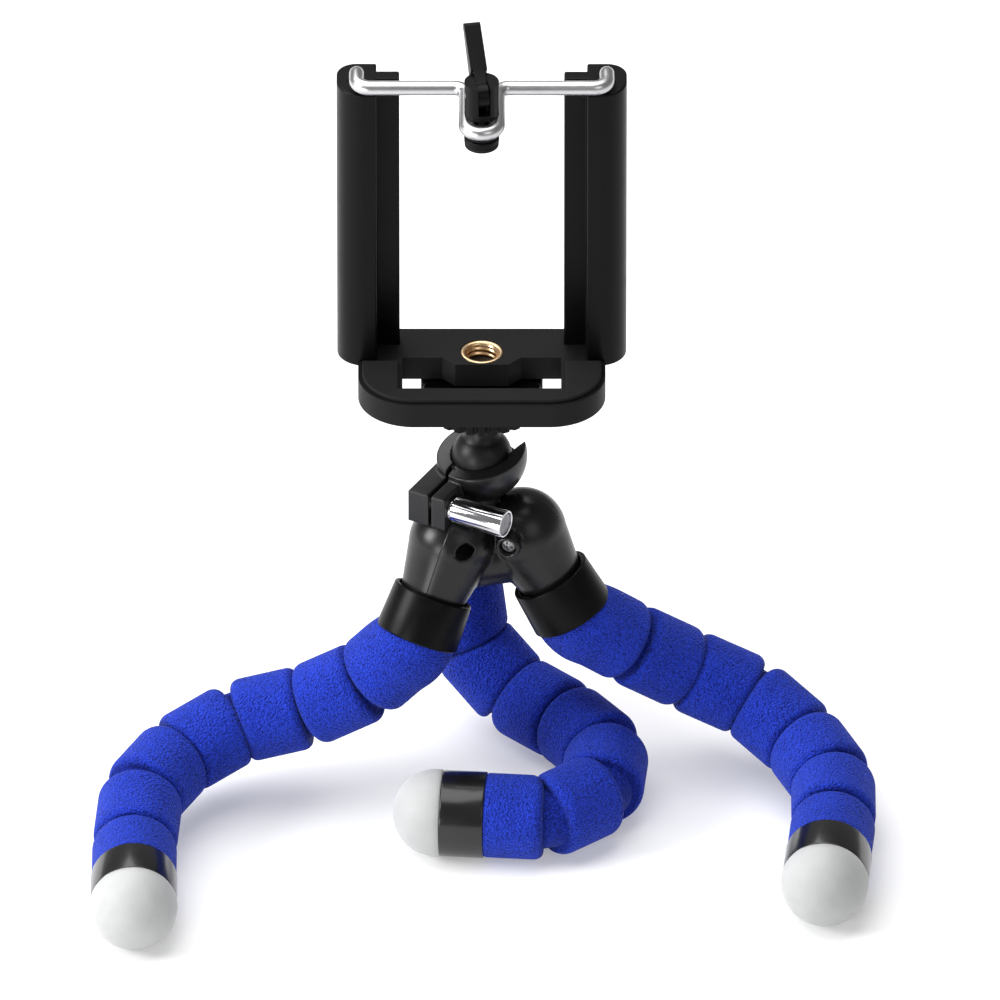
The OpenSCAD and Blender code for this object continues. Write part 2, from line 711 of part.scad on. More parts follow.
module socket_collar() {
    color([0.06, 0.06, 0.06]) difference() {
        union() {
            at_ball() difference() {
                collar_block();
                collar_room();
            }
            at_clamp() difference() {
                clamp_ears();
                sphere(collar_inner + run_gap);
            }
        }
        at_clamp() translate([far_start, 0, -collar_outer]) cube([slit_width, reach, reach]);
        at_screw() translate([0, 0, -reach / 2]) cylinder(r = clamp_shank + run_gap, h = reach);
        at_screw() translate([0, 0, far_end - past]) cylinder(d = (nut_flats + 2 * fit_gap) / cos(30),
            h = nut + past + 2 * fit_gap, $fn = 6);
        at_hub() for (leg = [left, right, rear]) translate(dome_at(leg)) sphere(dome_radius + dome_gap);
    }
}
module collar_nut() {
    color([0.6, 0.6, 0.62]) at_screw() translate([0, 0, far_end + fit_gap]) linear_extrude(nut) difference() {
        circle(d = nut_flats / cos(30), $fn = 6);
        circle(clamp_shank + run_gap / 2);
    }
}
module clamp_washer() {
    color([0.75, 0.75, 0.77]) at_screw() translate([0, 0, fit_gap]) linear_extrude(washer) difference() {
        circle(clamp_head_radius - washer_inset);
        circle(clamp_shank + run_gap / 2);
    }
}
module clamp_screw() {
    color([0.82, 0.82, 0.84]) at_screw() {
        translate([0, 0, washer + 2 * fit_gap]) cylinder(r = clamp_head_radius, h = clamp_head);
        translate([0, 0, far_end + fit_gap]) cylinder(r = clamp_shank, h = washer - far_end + past);
    }
}

// Hub shells
module at_hub_screws() {
    at_shells() for (x = [-1, 1])
        translate([hub_screw_shift + x * hub_screw_side, 0, ball_height - hub_screw_drop])
            rotate([90, 0, 0]) children();
}
module hub_mass() {
    at_hub() {
        for (leg = [left, right, rear]) translate(dome_at(leg)) sphere(dome_radius);
        translate([0, 0, dome_height - column_foot]) cylinder(r = column_radius,
            h = dome_drop + column_foot - column_top);
    }
    for (leg = [left, right, rear]) neck_frame(leg) {
        cylinder(r = neck_radius, h = neck_length);
        translate([0, 0, shoulder_start])
            cylinder(r1 = shoulder_radius, r2 = shoulder_foot_radius, h = shoulder_end - shoulder_start);
    }
    at_hub_screws() cylinder(r = hub_boss_radius, h = hub_boss_reach);
}
module hub_holes() {
    head_seat = hub_boss_reach - hub_head_depth;
    at_ball() translate([0, 0, -spigot_depth - fit_gap])
        cylinder(r = spigot_radius + fit_gap, h = spigot_depth);
    for (leg = [left, right, rear]) neck_frame(leg) translate([0, 0, core_start - fit_gap])
        cylinder(r = core_radius + fit_gap, h = reach);
    at_hub_screws() {
        translate([0, 0, -hub_shank_reach - past]) cylinder(r = hub_shank + fit_gap, h = reach);
        translate([0, 0, head_seat]) cylinder(r = hub_head_radius + run_gap, h = reach);
    }
}
module hub_shell(front) {
    color([0.06, 0.06, 0.06]) difference() {
        hub_mass();
        hub_holes();
        at_shells() translate([-reach, front ? -seam / 2 : seam / 2 - 2 * reach, 0])
            cube([2 * reach, 2 * reach, 3 * reach]);
    }
}
module hub_front_shell() { hub_shell(true); }
module hub_rear_shell() { hub_shell(false); }
module hub_screws() {
    head_seat = hub_boss_reach - hub_head_depth;
    color([0.6, 0.6, 0.62]) at_hub_screws() {
        translate([0, 0, head_seat + fit_gap]) cylinder(r = hub_head_radius, h = hub_head);
        translate([0, 0, -hub_shank_reach])
            cylinder(r = hub_shank, h = head_seat + hub_shank_reach + hub_head / 2);
    }
}

// Cups and cores
module cup(leg) {
    color([0.06, 0.06, 0.06]) neck_frame(leg) difference() {
        translate([0, 0, cup_foot]) cylinder(r1 = cup_hub_radius, r2 = cup_mouth_radius, h = cup_length);
        cylinder(r = neck_radius + fit_gap, h = neck_length + fit_gap);
        cylinder(r = cup_recess_radius, h = cup_foot + cup_recess);
        cylinder(r = foam_bore, h = reach);
        sphere(dome_radius + fit_gap);
    }
}
module left_cup() { cup(left); }
module right_cup() { cup(right); }
module rear_cup() { cup(rear); }
function core_ring(leg, k) = k == 0
    ? let (x = side_way(leg), y = cross(neck_way(leg), x))
        [for (s = [0 : core_sides - 1]) let (a = 360 * s / core_sides)
            dome_at(leg) + core_start * neck_way(leg) + core_radius * (cos(a) * x + sin(a) * y)]
    : let (d = way(leg, k - 2), last = k == links + 1,
        g = last ? groove(leg, links - 1) + (last_link + foam_tail - core_free) * d : groove(leg, k - 1),
        m = last ? d : d + way(leg, k - 1))
        [for (p = core_ring(leg, k - 1)) p + d * (((g - p) * m) / (d * m))];
module core(leg) {
    color([0.55, 0.55, 0.57]) at_hub()
        polyhedron([for (k = [0 : links + 1]) each core_ring(leg, k)], tube_faces(links + 1, core_sides));
}
module left_core() { core(left); }
module right_core() { core(right); }
module rear_core() { core(rear); }

// Foam links, rings and tips
module foam_outline(low, high) {
    inset = foam_radius - foam_round;
    polygon(concat(
        [[foam_bore, low]],
        [for (a = [0 : round_step : 90]) [inset + foam_round * sin(a), low + foam_round * (1 - cos(a))]],
        [for (a = [0 : round_step : 90]) [inset + foam_round * cos(a), high - foam_round * (1 - sin(a))]],
        [[foam_bore, high]]));
}
module groove_cut(leg, i, own, end) {
    d = way(leg, own);
    at_hub() along(groove(leg, i), cross(bend_axis(leg, i), d), d)
        translate([0, 0, end ? -groove_half : groove_half]) rotate([0, (end ? 1 : -1) * wedge(leg, i), 0])
            translate([-reach / 2, -reach / 2, end ? 0 : -reach]) cube(reach);
}
module foam_link(leg, i) {
    last = i == links - 1;
    high = link_span(leg, i) - (last ? fit_gap : groove_half);
    color([0.12, 0.18, 0.75]) difference() {
        link_frame(leg, i) rotate_extrude() {
            foam_outline(groove_half, high);
            if (last) translate([foam_bore, high - foam_round])
                square([spigot_fit - foam_bore, foam_tail + foam_round]);
        }
        groove_cut(leg, i, i, false);
        if (!last) groove_cut(leg, i + 1, i, true);
    }
}
module left_foam_1() { foam_link(left, 0); }
module left_foam_2() { foam_link(left, 1); }
module left_foam_3() { foam_link(left, 2); }
module left_foam_4() { foam_link(left, 3); }
module left_foam_5() { foam_link(left, 4); }
module left_foam_6() { foam_link(left, 5); }
module left_foam_7() { foam_link(left, 6); }
module right_foam_1() { foam_link(right, 0); }
module right_foam_2() { foam_link(right, 1); }
module right_foam_3() { foam_link(right, 2); }
module right_foam_4() { foam_link(right, 3); }
module right_foam_5() { foam_link(right, 4); }
module right_foam_6() { foam_link(right, 5); }
module right_foam_7() { foam_link(right, 6); }
module rear_foam_1() { foam_link(rear, 0); }
module rear_foam_2() { foam_link(rear, 1); }
module rear_foam_3() { foam_link(rear, 2); }
module rear_foam_4() { foam_link(rear, 3); }
module rear_foam_5() { foam_link(rear, 4); }
module rear_foam_6() { foam_link(rear, 5); }
module rear_foam_7() { foam_link(rear, 6); }
module foot_ring(leg) {
    color([0.06, 0.06, 0.06]) link_frame(leg, links - 1) translate([0, 0, last_link])
        linear_extrude(ring_length) difference() {
            circle(ring_radius);
            circle(ring_radius - ring_wall);
        }
}
module left_ring() { foot_ring(left); }
module right_ring() { foot_ring(right); }
module rear_ring() { foot_ring(rear); }
module foot_tip(leg) {
    face = last_link + ring_length + fit_gap;
    color([0.86, 0.87, 0.88]) link_frame(leg, links - 1) {
        difference() {
            translate([0, 0, last_link + ring_length + tip_reach]) sphere(tip_radius);
            translate([-reach / 2, -reach / 2, face - reach]) cube(reach);
        }
        translate([0, 0, face - tip_spigot]) cylinder(r = spigot_fit, h = tip_spigot + tip_reach);
    }
}
module left_tip() { foot_tip(left); }
module right_tip() { foot_tip(right); }
module rear_tip() { foot_tip(rear); }

clip_base();
thread_insert();
grip_pad();
left_rail();
right_rail();
bail();
bail_retainers();
left_spring();
right_spring();
press_bush();
lever_pin();
cam_lever();
press_foot();
foot_pad();
ball_stud();
lock_wheel();
ball_seat();
socket_collar();
collar_nut();
clamp_washer();
clamp_screw();
hub_front_shell();
hub_rear_shell();
hub_screws();
left_cup();
right_cup();
rear_cup();
left_core();
right_core();
rear_core();
left_foam_1();
left_foam_2();
left_foam_3();
left_foam_4();
left_foam_5();
left_foam_6();
left_foam_7();
right_foam_1();
right_foam_2();
right_foam_3();
right_foam_4();
right_foam_5();
right_foam_6();
right_foam_7();
rear_foam_1();
rear_foam_2();
rear_foam_3();
rear_foam_4();
rear_foam_5();
rear_foam_6();
rear_foam_7();
left_ring();
right_ring();
rear_ring();
left_tip();
right_tip();
rear_tip();
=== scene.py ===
# %% [markdown]
# # A small tripod with bendable foam legs
# The object is a pocket tripod for a phone. Three blue foam sleeves, cut by ring grooves, slide over
# bendable wires and meet in a black hub. A ball head on the hub carries a clip with two rails and a
# sprung wire bail. The solid model is already packed, so this lesson dresses it: each visible piece
# becomes a smooth surface worked out with numpy, and each finish is a small network of shader nodes.

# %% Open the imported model
import json

import bmesh
import bpy
import numpy as np
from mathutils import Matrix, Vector


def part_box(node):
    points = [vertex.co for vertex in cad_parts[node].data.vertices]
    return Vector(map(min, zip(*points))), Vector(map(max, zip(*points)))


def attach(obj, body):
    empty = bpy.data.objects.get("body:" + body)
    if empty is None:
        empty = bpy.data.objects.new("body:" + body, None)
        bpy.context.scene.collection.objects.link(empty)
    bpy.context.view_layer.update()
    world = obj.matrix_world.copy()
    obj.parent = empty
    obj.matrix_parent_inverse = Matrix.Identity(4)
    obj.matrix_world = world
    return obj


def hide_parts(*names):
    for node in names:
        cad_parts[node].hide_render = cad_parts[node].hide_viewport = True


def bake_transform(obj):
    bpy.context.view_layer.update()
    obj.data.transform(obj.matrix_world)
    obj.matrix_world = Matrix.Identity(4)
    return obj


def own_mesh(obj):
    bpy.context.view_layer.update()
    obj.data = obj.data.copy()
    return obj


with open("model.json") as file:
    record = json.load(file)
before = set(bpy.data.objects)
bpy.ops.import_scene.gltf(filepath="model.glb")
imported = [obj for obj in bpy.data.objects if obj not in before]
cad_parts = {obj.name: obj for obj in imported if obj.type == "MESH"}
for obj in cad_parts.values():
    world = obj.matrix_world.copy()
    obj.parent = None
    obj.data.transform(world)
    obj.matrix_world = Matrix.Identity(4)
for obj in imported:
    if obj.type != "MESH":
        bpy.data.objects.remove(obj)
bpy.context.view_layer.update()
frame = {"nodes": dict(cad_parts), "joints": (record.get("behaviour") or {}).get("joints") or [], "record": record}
joints = {joint["name"]: joint for joint in frame["joints"]}
MM = 0.001
LEGS = ("left", "right", "rear")

# %% [markdown]
# ## Camera, floor and light
# The view is from the front and well above, through a long lens, so that the upright rails stay
# parallel. The floor is plain and nearly white. One wide soft light hangs overhead and another stands
# on the left, which gives the legs pale tops and the black parts a bright left edge. Two weak ones, low
# on the left and in front on the right, keep the fronts from going flat.


# %% Camera and soft lights
def aim(thing, at, target):
    """Puts a camera or lamp at a point and turns its own -Z axis to the target."""
    thing.location = at
    way = Vector(target) - Vector(at)
    thing.rotation_euler = way.to_track_quat("-Z", "Y").to_euler()


VIEW_TARGET = np.array([3.5, 26.6, 66.3]) * MM
VIEW_RISE = np.radians(33)
VIEW_DISTANCE = 8.0
LENS_MM = 1340
SENSOR_MM = 36
FARTHEST = 20
lens = bpy.data.cameras.new("front_view")
lens.lens = LENS_MM
lens.sensor_width = SENSOR_MM
lens.clip_end = FARTHEST
camera = bpy.data.objects.new("front_view", lens)
bpy.context.scene.collection.objects.link(camera)
view_back = np.array([0, -np.cos(VIEW_RISE), np.sin(VIEW_RISE)])
aim(camera, VIEW_TARGET + VIEW_DISTANCE * view_back, VIEW_TARGET)
bpy.context.scene.camera = camera
bpy.context.scene.view_settings.view_transform = "Standard"


LAMP_TARGET = (0, 0.02, 0.08)
WORLD_STRENGTH = 0.25


def softbox(name, at, size, watts):
    """A square area lamp of one size that looks at the middle of the object."""
    lamp = bpy.data.lights.new(name, "AREA")
    lamp.size = size
    lamp.energy = watts
    holder = bpy.data.objects.new(name, lamp)
    bpy.context.scene.collection.objects.link(holder)
    aim(holder, at, LAMP_TARGET)


softbox("overhead", at=(-0.25, 0.25, 1.1), size=1.4, watts=21)
softbox("left_side", at=(-1.0, -0.25, 0.55), size=0.45, watts=12)
softbox("low_left", at=(-0.6, -0.8, 0.12), size=0.3, watts=4)
softbox("front_fill", at=(0.7, -1.1, 0.9), size=0.8, watts=3)
world = bpy.data.worlds.new("studio")
world.use_nodes = True
sky = world.node_tree.nodes["Background"]
sky.inputs["Color"].default_value = (1, 1, 1, 1)
sky.inputs["Strength"].default_value = WORLD_STRENGTH
bpy.context.scene.world = world
print("camera", VIEW_DISTANCE, "m away and", len(bpy.data.lights), "soft lights")

# %% [markdown]
# ## Shader sums
# A finish is easier to read as arithmetic than as a picture of wires. The class below wraps one output
# of a node tree, so that a sum of such outputs in Python adds the Math nodes for it.


# %% A socket that takes part in sums
class Signal:
    """One output socket; + - * and their reflected forms add Math nodes, and node() adds any other kind."""

    def __init__(self, tree, socket=None):
        self.tree = tree
        self.socket = socket

    def node(self, kind, settings=None, values=None, out=0):
        """Adds a node: settings are set first, then each socket gets a value or a link."""
        made = self.tree.nodes.new(kind)
        for key, value in (settings or {}).items():
            setattr(made, key, value)
        for key, value in (values or {}).items():
            if isinstance(value, Signal):
                self.tree.links.new(value.socket, made.inputs[key])
            else:
                made.inputs[key].default_value = value
        return Signal(self.tree, made.outputs[out])

    def math(self, operation, one, two):
        """A Math node of one operation on two values or signals."""
        return self.node("ShaderNodeMath", {"operation": operation}, {0: one, 1: two})

    def __add__(self, other):
        return self.math("ADD", self, other)

    def __mul__(self, other):
        return self.math("MULTIPLY", self, other)

    def __sub__(self, other):
        return self.math("SUBTRACT", self, other)

    def __rsub__(self, other):
        return self.math("SUBTRACT", other, self)

    __radd__ = __add__
    __rmul__ = __mul__


def new_finish(name, **constants):
    """A material with one Principled surface; constants are set on the surface's own sockets."""
    material = bpy.data.materials.new(name)
    material.use_nodes = True
    surface = material.node_tree.nodes["Principled BSDF"]
    for key, value in constants.items():
        surface.inputs[key.replace("_", " ")].default_value = value
    return material, Signal(material.node_tree), surface


def feed(surface, socket, signal):
    """Links a signal to a socket of the surface."""
    signal.tree.links.new(signal.socket, surface.inputs[socket])


def noise(s, place, cells_per_mm, detail=2.0):
    """Smooth noise between 0 and 1 whose blobs are about 1 / cells_per_mm wide."""
    values = {"Vector": place, "Scale": cells_per_mm / MM, "Detail": detail}
    return s.node("ShaderNodeTexNoise", None, values)


def bump(s, height, depth_mm):
    """A bent normal from a height between 0 and 1 that stands for a depth in millimetres."""
    values = {"Height": height, "Distance": depth_mm * MM, "Strength": 1.0}
    return s.node("ShaderNodeBump", None, values, out="Normal")


def blend_colour(s, share, low, high):
    """A colour between two others."""
    return s.node("ShaderNodeMix", {"data_type": "RGBA"}, {"Factor": share, 6: low, 7: high}, out=2)


# %% [markdown]
# ## Foam
# The sleeves are closed cell foam rubber, skinned with a fine pebble grain. Where the grooves were cut
# the foam is smoother and lies in shade. Each sleeve carries a vertex attribute, cut, that is 1 inside
# a groove, and the finish uses it to smooth the bump there and to paint shade into the colour as a
# darker blue. A little sheen gives the pale bloom that the skin shows at a low angle.


# %% The foam finish
FOAM_DARK = (0.0022, 0.008, 0.13, 1)
FOAM_LIGHT = (0.018, 0.055, 0.66, 1)
FOAM_BLOOM = (0.35, 0.5, 1.0, 1)
FOAM_DEEP = 0.6
PEBBLES_PER_MM = 2.1


def foam_finish():
    """Blue foam: light = 1.7 (fine - 0.5) + 0.3 patch + 0.6 (1 - pebble) - 0.35 cut + 0.02."""
    sheen = {"Sheen_Weight": 0.12, "Sheen_Roughness": 0.5, "Sheen_Tint": FOAM_BLOOM}
    material, s, surface = new_finish("blue_foam", Specular_IOR_Level=0.1, **sheen)
    place = s.node("ShaderNodeTexCoord", out="Object")
    cut = s.node("ShaderNodeAttribute", {"attribute_name": "cut"}, out="Fac")
    cells = {"Vector": place, "Scale": PEBBLES_PER_MM / MM, "Smoothness": 0.5}
    pebble = s.node("ShaderNodeTexVoronoi", {"feature": "SMOOTH_F1"}, cells)
    fine = noise(s, place, 2.6, 4.0)
    patch = noise(s, place, 0.12)
    # The - 0.35 cut term is painted shade: it darkens the colour on the groove floors.
    light = 1.7 * (fine - 0.5) + 0.3 * patch + 0.6 * (1 - pebble) - 0.35 * cut + 0.02
    feed(surface, "Base Color", blend_colour(s, light, FOAM_DARK, FOAM_LIGHT))
    feed(surface, "Roughness", 0.8 - 0.15 * fine)
    grain = (1 - 0.75 * cut) * ((1 - pebble) + 0.9 * fine)
    feed(surface, "Normal", bump(s, grain, FOAM_DEEP))
    return material


blue_foam = foam_finish()
print("foam with", PEBBLES_PER_MM, "pebbles to the millimetre")

# %% [markdown]
# ## Black plastics and rubber
# Most of the head and the clip is moulded black plastic. Its skin is not quite even: a faint spark
# texture from the mould breaks up the light, and broad patches differ a little in gloss. The same
# recipe with other numbers gives the matte base, the satin hub and rails, the glossy foot rings and
# the dull rubber pads.


# %% Moulded black finishes
PATCH_LIFT = 1.7


def moulded(name, colour, rough, spread, grain_per_mm, depth_mm, level=0.4, coat=0.0):
    """Black plastic: roughness = rough + spread (patch - 0.5), and a fine grain bends the light."""
    material, s, surface = new_finish(name, Specular_IOR_Level=level, Coat_Weight=coat, Coat_Roughness=0.12)
    place = s.node("ShaderNodeTexCoord", out="Object")
    patch = noise(s, place, 0.25, 4.0)
    grain = noise(s, place, grain_per_mm, 2.0)
    lighter = [PATCH_LIFT * c for c in colour]
    feed(surface, "Base Color", blend_colour(s, 0.6 * patch + 0.4 * grain, (*colour, 1), (*lighter, 1)))
    feed(surface, "Roughness", rough + spread * (patch - 0.5))
    feed(surface, "Normal", bump(s, grain, depth_mm))
    return material


matte_black = moulded(
    "matte_black", (0.005, 0.005, 0.005), rough=0.5, spread=0.2,
    grain_per_mm=3.0, depth_mm=0.02, level=0.1
)
satin_black = moulded(
    "satin_black", (0.0014, 0.0014, 0.0015), rough=0.34, spread=0.16,
    grain_per_mm=1.6, depth_mm=0.008, level=0.1
)
gloss_black = moulded(
    "gloss_black", (0.004, 0.004, 0.0042), rough=0.24, spread=0.12,
    grain_per_mm=0.8, depth_mm=0.006, level=0.4, coat=0.2
)
pad_rubber = moulded(
    "pad_rubber", (0.0075, 0.0075, 0.0075), rough=0.7, spread=0.2,
    grain_per_mm=4.5, depth_mm=0.05, level=0.1
)
ball_black = moulded(
    "ball_black", (0.003, 0.003, 0.0031), rough=0.42, spread=0.16,
    grain_per_mm=0.7, depth_mm=0.01, level=0.25
)
ears_black = moulded(
    "ears_black", (0.006, 0.006, 0.006), rough=0.34, spread=0.16,
    grain_per_mm=1.6, depth_mm=0.008, level=0.4
)
black_nylon = moulded(
    "black_nylon", (0.004, 0.004, 0.004), rough=0.45, spread=0.2,
    grain_per_mm=1.0, depth_mm=0.01, level=0.2
)
print("seven moulded black finishes")


# %% Metals and milky rubber
WORN_SHARE = 0.82


def metal(name, colour, rough, streak):
    """Bare metal: a fine drawn grain adds up to streak to the roughness, and worn patches are duller."""
    material, s, surface = new_finish(name, Metallic=1.0)
    place = s.node("ShaderNodeTexCoord", out="Object")
    drawn = noise(s, place, 1.2, 4.0)
    worn = noise(s, place, 0.2, 3.0)
    dull = [WORN_SHARE * c for c in colour]
    feed(surface, "Base Color", blend_colour(s, worn, (*colour, 1), (*dull, 1)))
    feed(surface, "Roughness", rough + streak * drawn)
    return material


chrome = metal("chrome", (0.70, 0.70, 0.72), rough=0.05, streak=0.1)
satin_chrome = metal("satin_chrome", (0.56, 0.56, 0.57), rough=0.24, streak=0.14)
brass = metal("brass", (0.78, 0.55, 0.32), rough=0.22, streak=0.2)
steel = metal("steel", (0.52, 0.52, 0.54), rough=0.22, streak=0.2)
dull_steel = metal("dull_steel", (0.30, 0.30, 0.31), rough=0.4, streak=0.2)
dark_plate = metal("dark_plate", (0.05, 0.05, 0.052), rough=0.14, streak=0.14)


MILKY_DARK = (0.36, 0.37, 0.37, 1)
MILKY_LIGHT = (0.43, 0.43, 0.43, 1)


def milky_finish():
    """Milky rubber: light goes a little way in, and faint clouds vary the tone."""
    scatter = {"Subsurface_Weight": 0.7, "Subsurface_Scale": 6 * MM, "Subsurface_Radius": (1, 1, 1)}
    material, s, surface = new_finish("milky_rubber", Specular_IOR_Level=0.2, **scatter)
    place = s.node("ShaderNodeTexCoord", out="Object")
    cloud = noise(s, place, 0.3, 3.0)
    feed(surface, "Base Color", blend_colour(s, cloud, MILKY_DARK, MILKY_LIGHT))
    feed(surface, "Roughness", 0.45 + 0.2 * cloud)
    feed(surface, "Normal", bump(s, noise(s, place, 0.9, 2.0), 0.03))
    return material


milky_rubber = milky_finish()
finish_of_slot = {
    "black_plastic": matte_black,
    "satin_plastic": satin_black,
    "foam": blue_foam,
    "milky_rubber": milky_rubber,
    "rubber": pad_rubber,
    "chrome": chrome,
    "brass": brass,
    "dark_metal": dark_plate,
    "steel": steel,
    "nylon": black_nylon,
}
slot_of_node = {part["node"]: part["material_slot"] for part in frame["record"]["subparts"]}
for node, solid in frame["nodes"].items():
    solid.data.materials.clear()
    solid.data.materials.append(finish_of_slot[slot_of_node[node]])
for side in LEGS:
    frame["nodes"][f"{side}_ring"].data.materials[0] = gloss_black
print(len(finish_of_slot), "finishes for", len(slot_of_node), "solids")

# %% [markdown]
# ## Skins over rings
# Nearly every piece here is round in section: sleeves, cups, rings, wire. Such a piece is a stack of
# rings, each an array of points round the axis. One function joins any stack into a closed skin, so a
# new piece only has to say where its rings lie.

# %% Rings to closed skins
AROUND = 96
TURN = np.linspace(0, 2 * np.pi, AROUND, endpoint=False)


def unit(vectors):
    """Vectors of length one, along the last axis."""
    vectors = np.asarray(vectors, float)
    return vectors / np.linalg.norm(vectors, axis=-1, keepdims=True)


def skin(rings, loop=False):
    """Quads join ring k to k + 1; loop joins the last ring to the first, else a fan closes each end."""
    rows, cols = rings.shape[:2]
    row = np.arange(rows if loop else rows - 1)[:, None] * cols
    after = (row + cols) % (rows * cols)
    col = np.arange(cols)[None, :]
    right = (col + 1) % cols
    quads = np.stack([row + col, row + right, after + right, after + col], -1).reshape(-1, 4)
    points = rings.reshape(-1, 3)
    if loop:
        return points, quads.tolist()
    points = np.vstack([points, rings[0].mean(0), rings[-1].mean(0)])
    last = (rows - 1) * cols
    start_fan = np.stack([right[0], col[0], np.full(cols, rows * cols)], -1)
    end_fan = np.stack([last + col[0], last + right[0], np.full(cols, rows * cols + 1)], -1)
    return points, quads.tolist() + start_fan.tolist() + end_fan.tolist()


def outward(shape):
    """The same faces, all turned round if the volume that they close counts as negative."""
    points, faces = shape
    corners = np.array([face[:3] for face in faces])
    a, b, c = (points[corners[:, k]] - points.mean(0) for k in range(3))
    if np.einsum("ij,ij->", a, np.cross(b, c)) < 0:
        faces = [face[::-1] for face in faces]
    return points, faces


def dress(made, nodes=(), body=None):
    """Puts an object into the scene, hides the solids that it stands for, and ties it to the body that it rides
    on.
    """
    bpy.context.scene.collection.objects.link(made)
    if nodes:
        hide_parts(*nodes)
    if body:
        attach(made, body)
    return made


SMOOTH_UNDER = np.radians(50)


def piece(name, shapes, finishes, nodes=(), body=None):
    """A mesh object from one or more closed shells of points and faces, each with its own finish."""
    points, faces, shares = [], [], []
    for k, shape in enumerate(shapes):
        some_points, some_faces = outward(shape)
        start = sum(len(part) for part in points)
        points.append(some_points)
        faces.extend([[start + corner for corner in face] for face in some_faces])
        shares.extend([k] * len(some_faces))
    mesh = bpy.data.meshes.new(name)
    mesh.from_pydata(np.vstack(points).tolist(), [], faces)
    mesh.polygons.foreach_set("use_smooth", np.ones(len(faces), bool))
    mesh.polygons.foreach_set("material_index", np.array(shares, np.int32))
    mesh.set_sharp_from_angle(angle=SMOOTH_UNDER)
    for finish in finishes:
        mesh.materials.append(finish)
    return dress(bpy.data.objects.new(name, mesh), nodes, body)


def mark(made, name, values):
    """Stores one number per point as a vertex attribute."""
    store = made.data.attributes.new(name, "FLOAT", "POINT")
    store.data.foreach_set("value", np.asarray(values, np.float32))


# %% [markdown]
# ## Grooved sleeves
# On the real leg the sleeve is one piece of foam. Its ring grooves let it bend: on the outer side of a
# bend a groove opens into a wedge and shows its smooth floor, and on the inner side the two lips press
# together. Here each groove gets its own piece, from the middle of one bead to the middle of the next,
# shaped to that groove's bend as the leg stands. Bead middles never bend, so the pieces meet there unseen.

# %% The shape of one groove
FOAM_RADIUS = 9.1 * MM
FLOOR_RADIUS = 6.6 * MM
LIP_LONG = 2.0 * MM
LIP_DEEP = 1.5 * MM
GROOVE_OPEN = 0.55 * MM
GROOVE_SHUT = 0.08 * MM
SHUT_BEND = np.radians(9)
SQUEEZE_SOFT = 0.5 * MM
WALL_ROWS, LIP_ROWS, RUN_ROWS, FLOOR_ROWS = 4, 8, 6, 4
LINKS = 7


def bead_profile(gap, half):
    """Distance from the groove's middle, radius and cut share, from the floor up the wall and over the lip.

    The lip is a quarter ellipse, LIP_LONG along the leg and LIP_DEEP across it.
    """
    floor = np.array([[0.15 * gap, FLOOR_RADIUS], [0.7 * gap, FLOOR_RADIUS]])
    rise = np.linspace(FLOOR_RADIUS + 0.3 * MM, FOAM_RADIUS - LIP_DEEP, WALL_ROWS)
    wall = np.stack([np.full(WALL_ROWS, gap), rise], -1)
    bow = np.linspace(0, np.pi / 2, LIP_ROWS + 1)[1:]
    lip = np.stack([gap + LIP_LONG * (1 - np.cos(bow)), FOAM_RADIUS - LIP_DEEP * (1 - np.sin(bow))], -1)
    reach = np.linspace(gap + LIP_LONG, half, RUN_ROWS + 1)[1:]
    run = np.stack([reach, np.full(RUN_ROWS, FOAM_RADIUS)], -1)
    rows = np.vstack([floor, wall, lip, run])
    depth = np.clip((FOAM_RADIUS - rows[:, 1]) / LIP_DEEP, 0, 1)
    return rows, depth


def half_groove(middle, way, inner, axis, bend, half):
    """Rings from a groove's middle to a bead's middle, way pointing from the groove into the bead.

    A point at radius r and angle a from the inner side would cross the plane that halves the bend by
    r cos(a) tan(bend / 2). The positive part of that length squeezes the half bead along its axis.
    """
    wide, depth = bead_profile(GROOVE_OPEN, half)
    shut, _ = bead_profile(GROOVE_SHUT, half)
    inward = np.cos(TURN)
    squeeze = np.clip(inward * np.tan(bend / 2) / np.tan(SHUT_BEND), 0, 1)[None, :, None]
    rows = wide[:, None, :] * (1 - squeeze) + shut[:, None, :] * squeeze
    along, radius = rows[..., 0], rows[..., 1]
    over = radius * inward * np.tan(bend / 2)
    push = 0.5 * (over + np.sqrt(over**2 + SQUEEZE_SOFT**2)) - 0.5 * SQUEEZE_SOFT * (1 - along / half)
    along = push + along * (1 - push / half)
    out = inward[:, None] * inner + np.sin(TURN)[:, None] * axis
    rings = middle + along[..., None] * way + radius[..., None] * out[None]
    return rings, np.repeat(depth[:, None], AROUND, 1)


# %% Where each leg runs
def middle_of(node):
    """The middle of a solid's box."""
    low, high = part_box(node)
    return (np.array(low) + np.array(high)) / 2


NECK_AZIMUTH = {"left": 226, "right": 346, "rear": 106}
NECK_LEAN = np.radians(30)


def leg_line(side):
    """Groove middles and the directions before and after each: neck first, then link by link."""
    grooves = np.array([joints[f"{side}_bend_{k + 1}"]["pos_m"] for k in range(LINKS)])
    turn = np.radians(NECK_AZIMUTH[side])
    lean = np.sin(NECK_LEAN)
    neck = np.array([lean * np.cos(turn), lean * np.sin(turn), -np.cos(NECK_LEAN)])
    ways = np.vstack([neck, np.diff(grooves, axis=0), middle_of(f"{side}_ring") - grooves[-1]])
    return grooves, unit(ways)


def bend_frame(before, after):
    """The bend's angle, its axis, and the directions to its inner side before and after it."""
    axis = unit(np.cross(before, after))
    inner_before = np.cross(axis, before)
    inner_after = np.cross(axis, after)
    angle = np.arccos(np.clip(before @ after, -1, 1))
    return angle, axis, inner_before, inner_after


# %% A circle carried along a path
SLANT = (0.36, 0.48, 0.8)


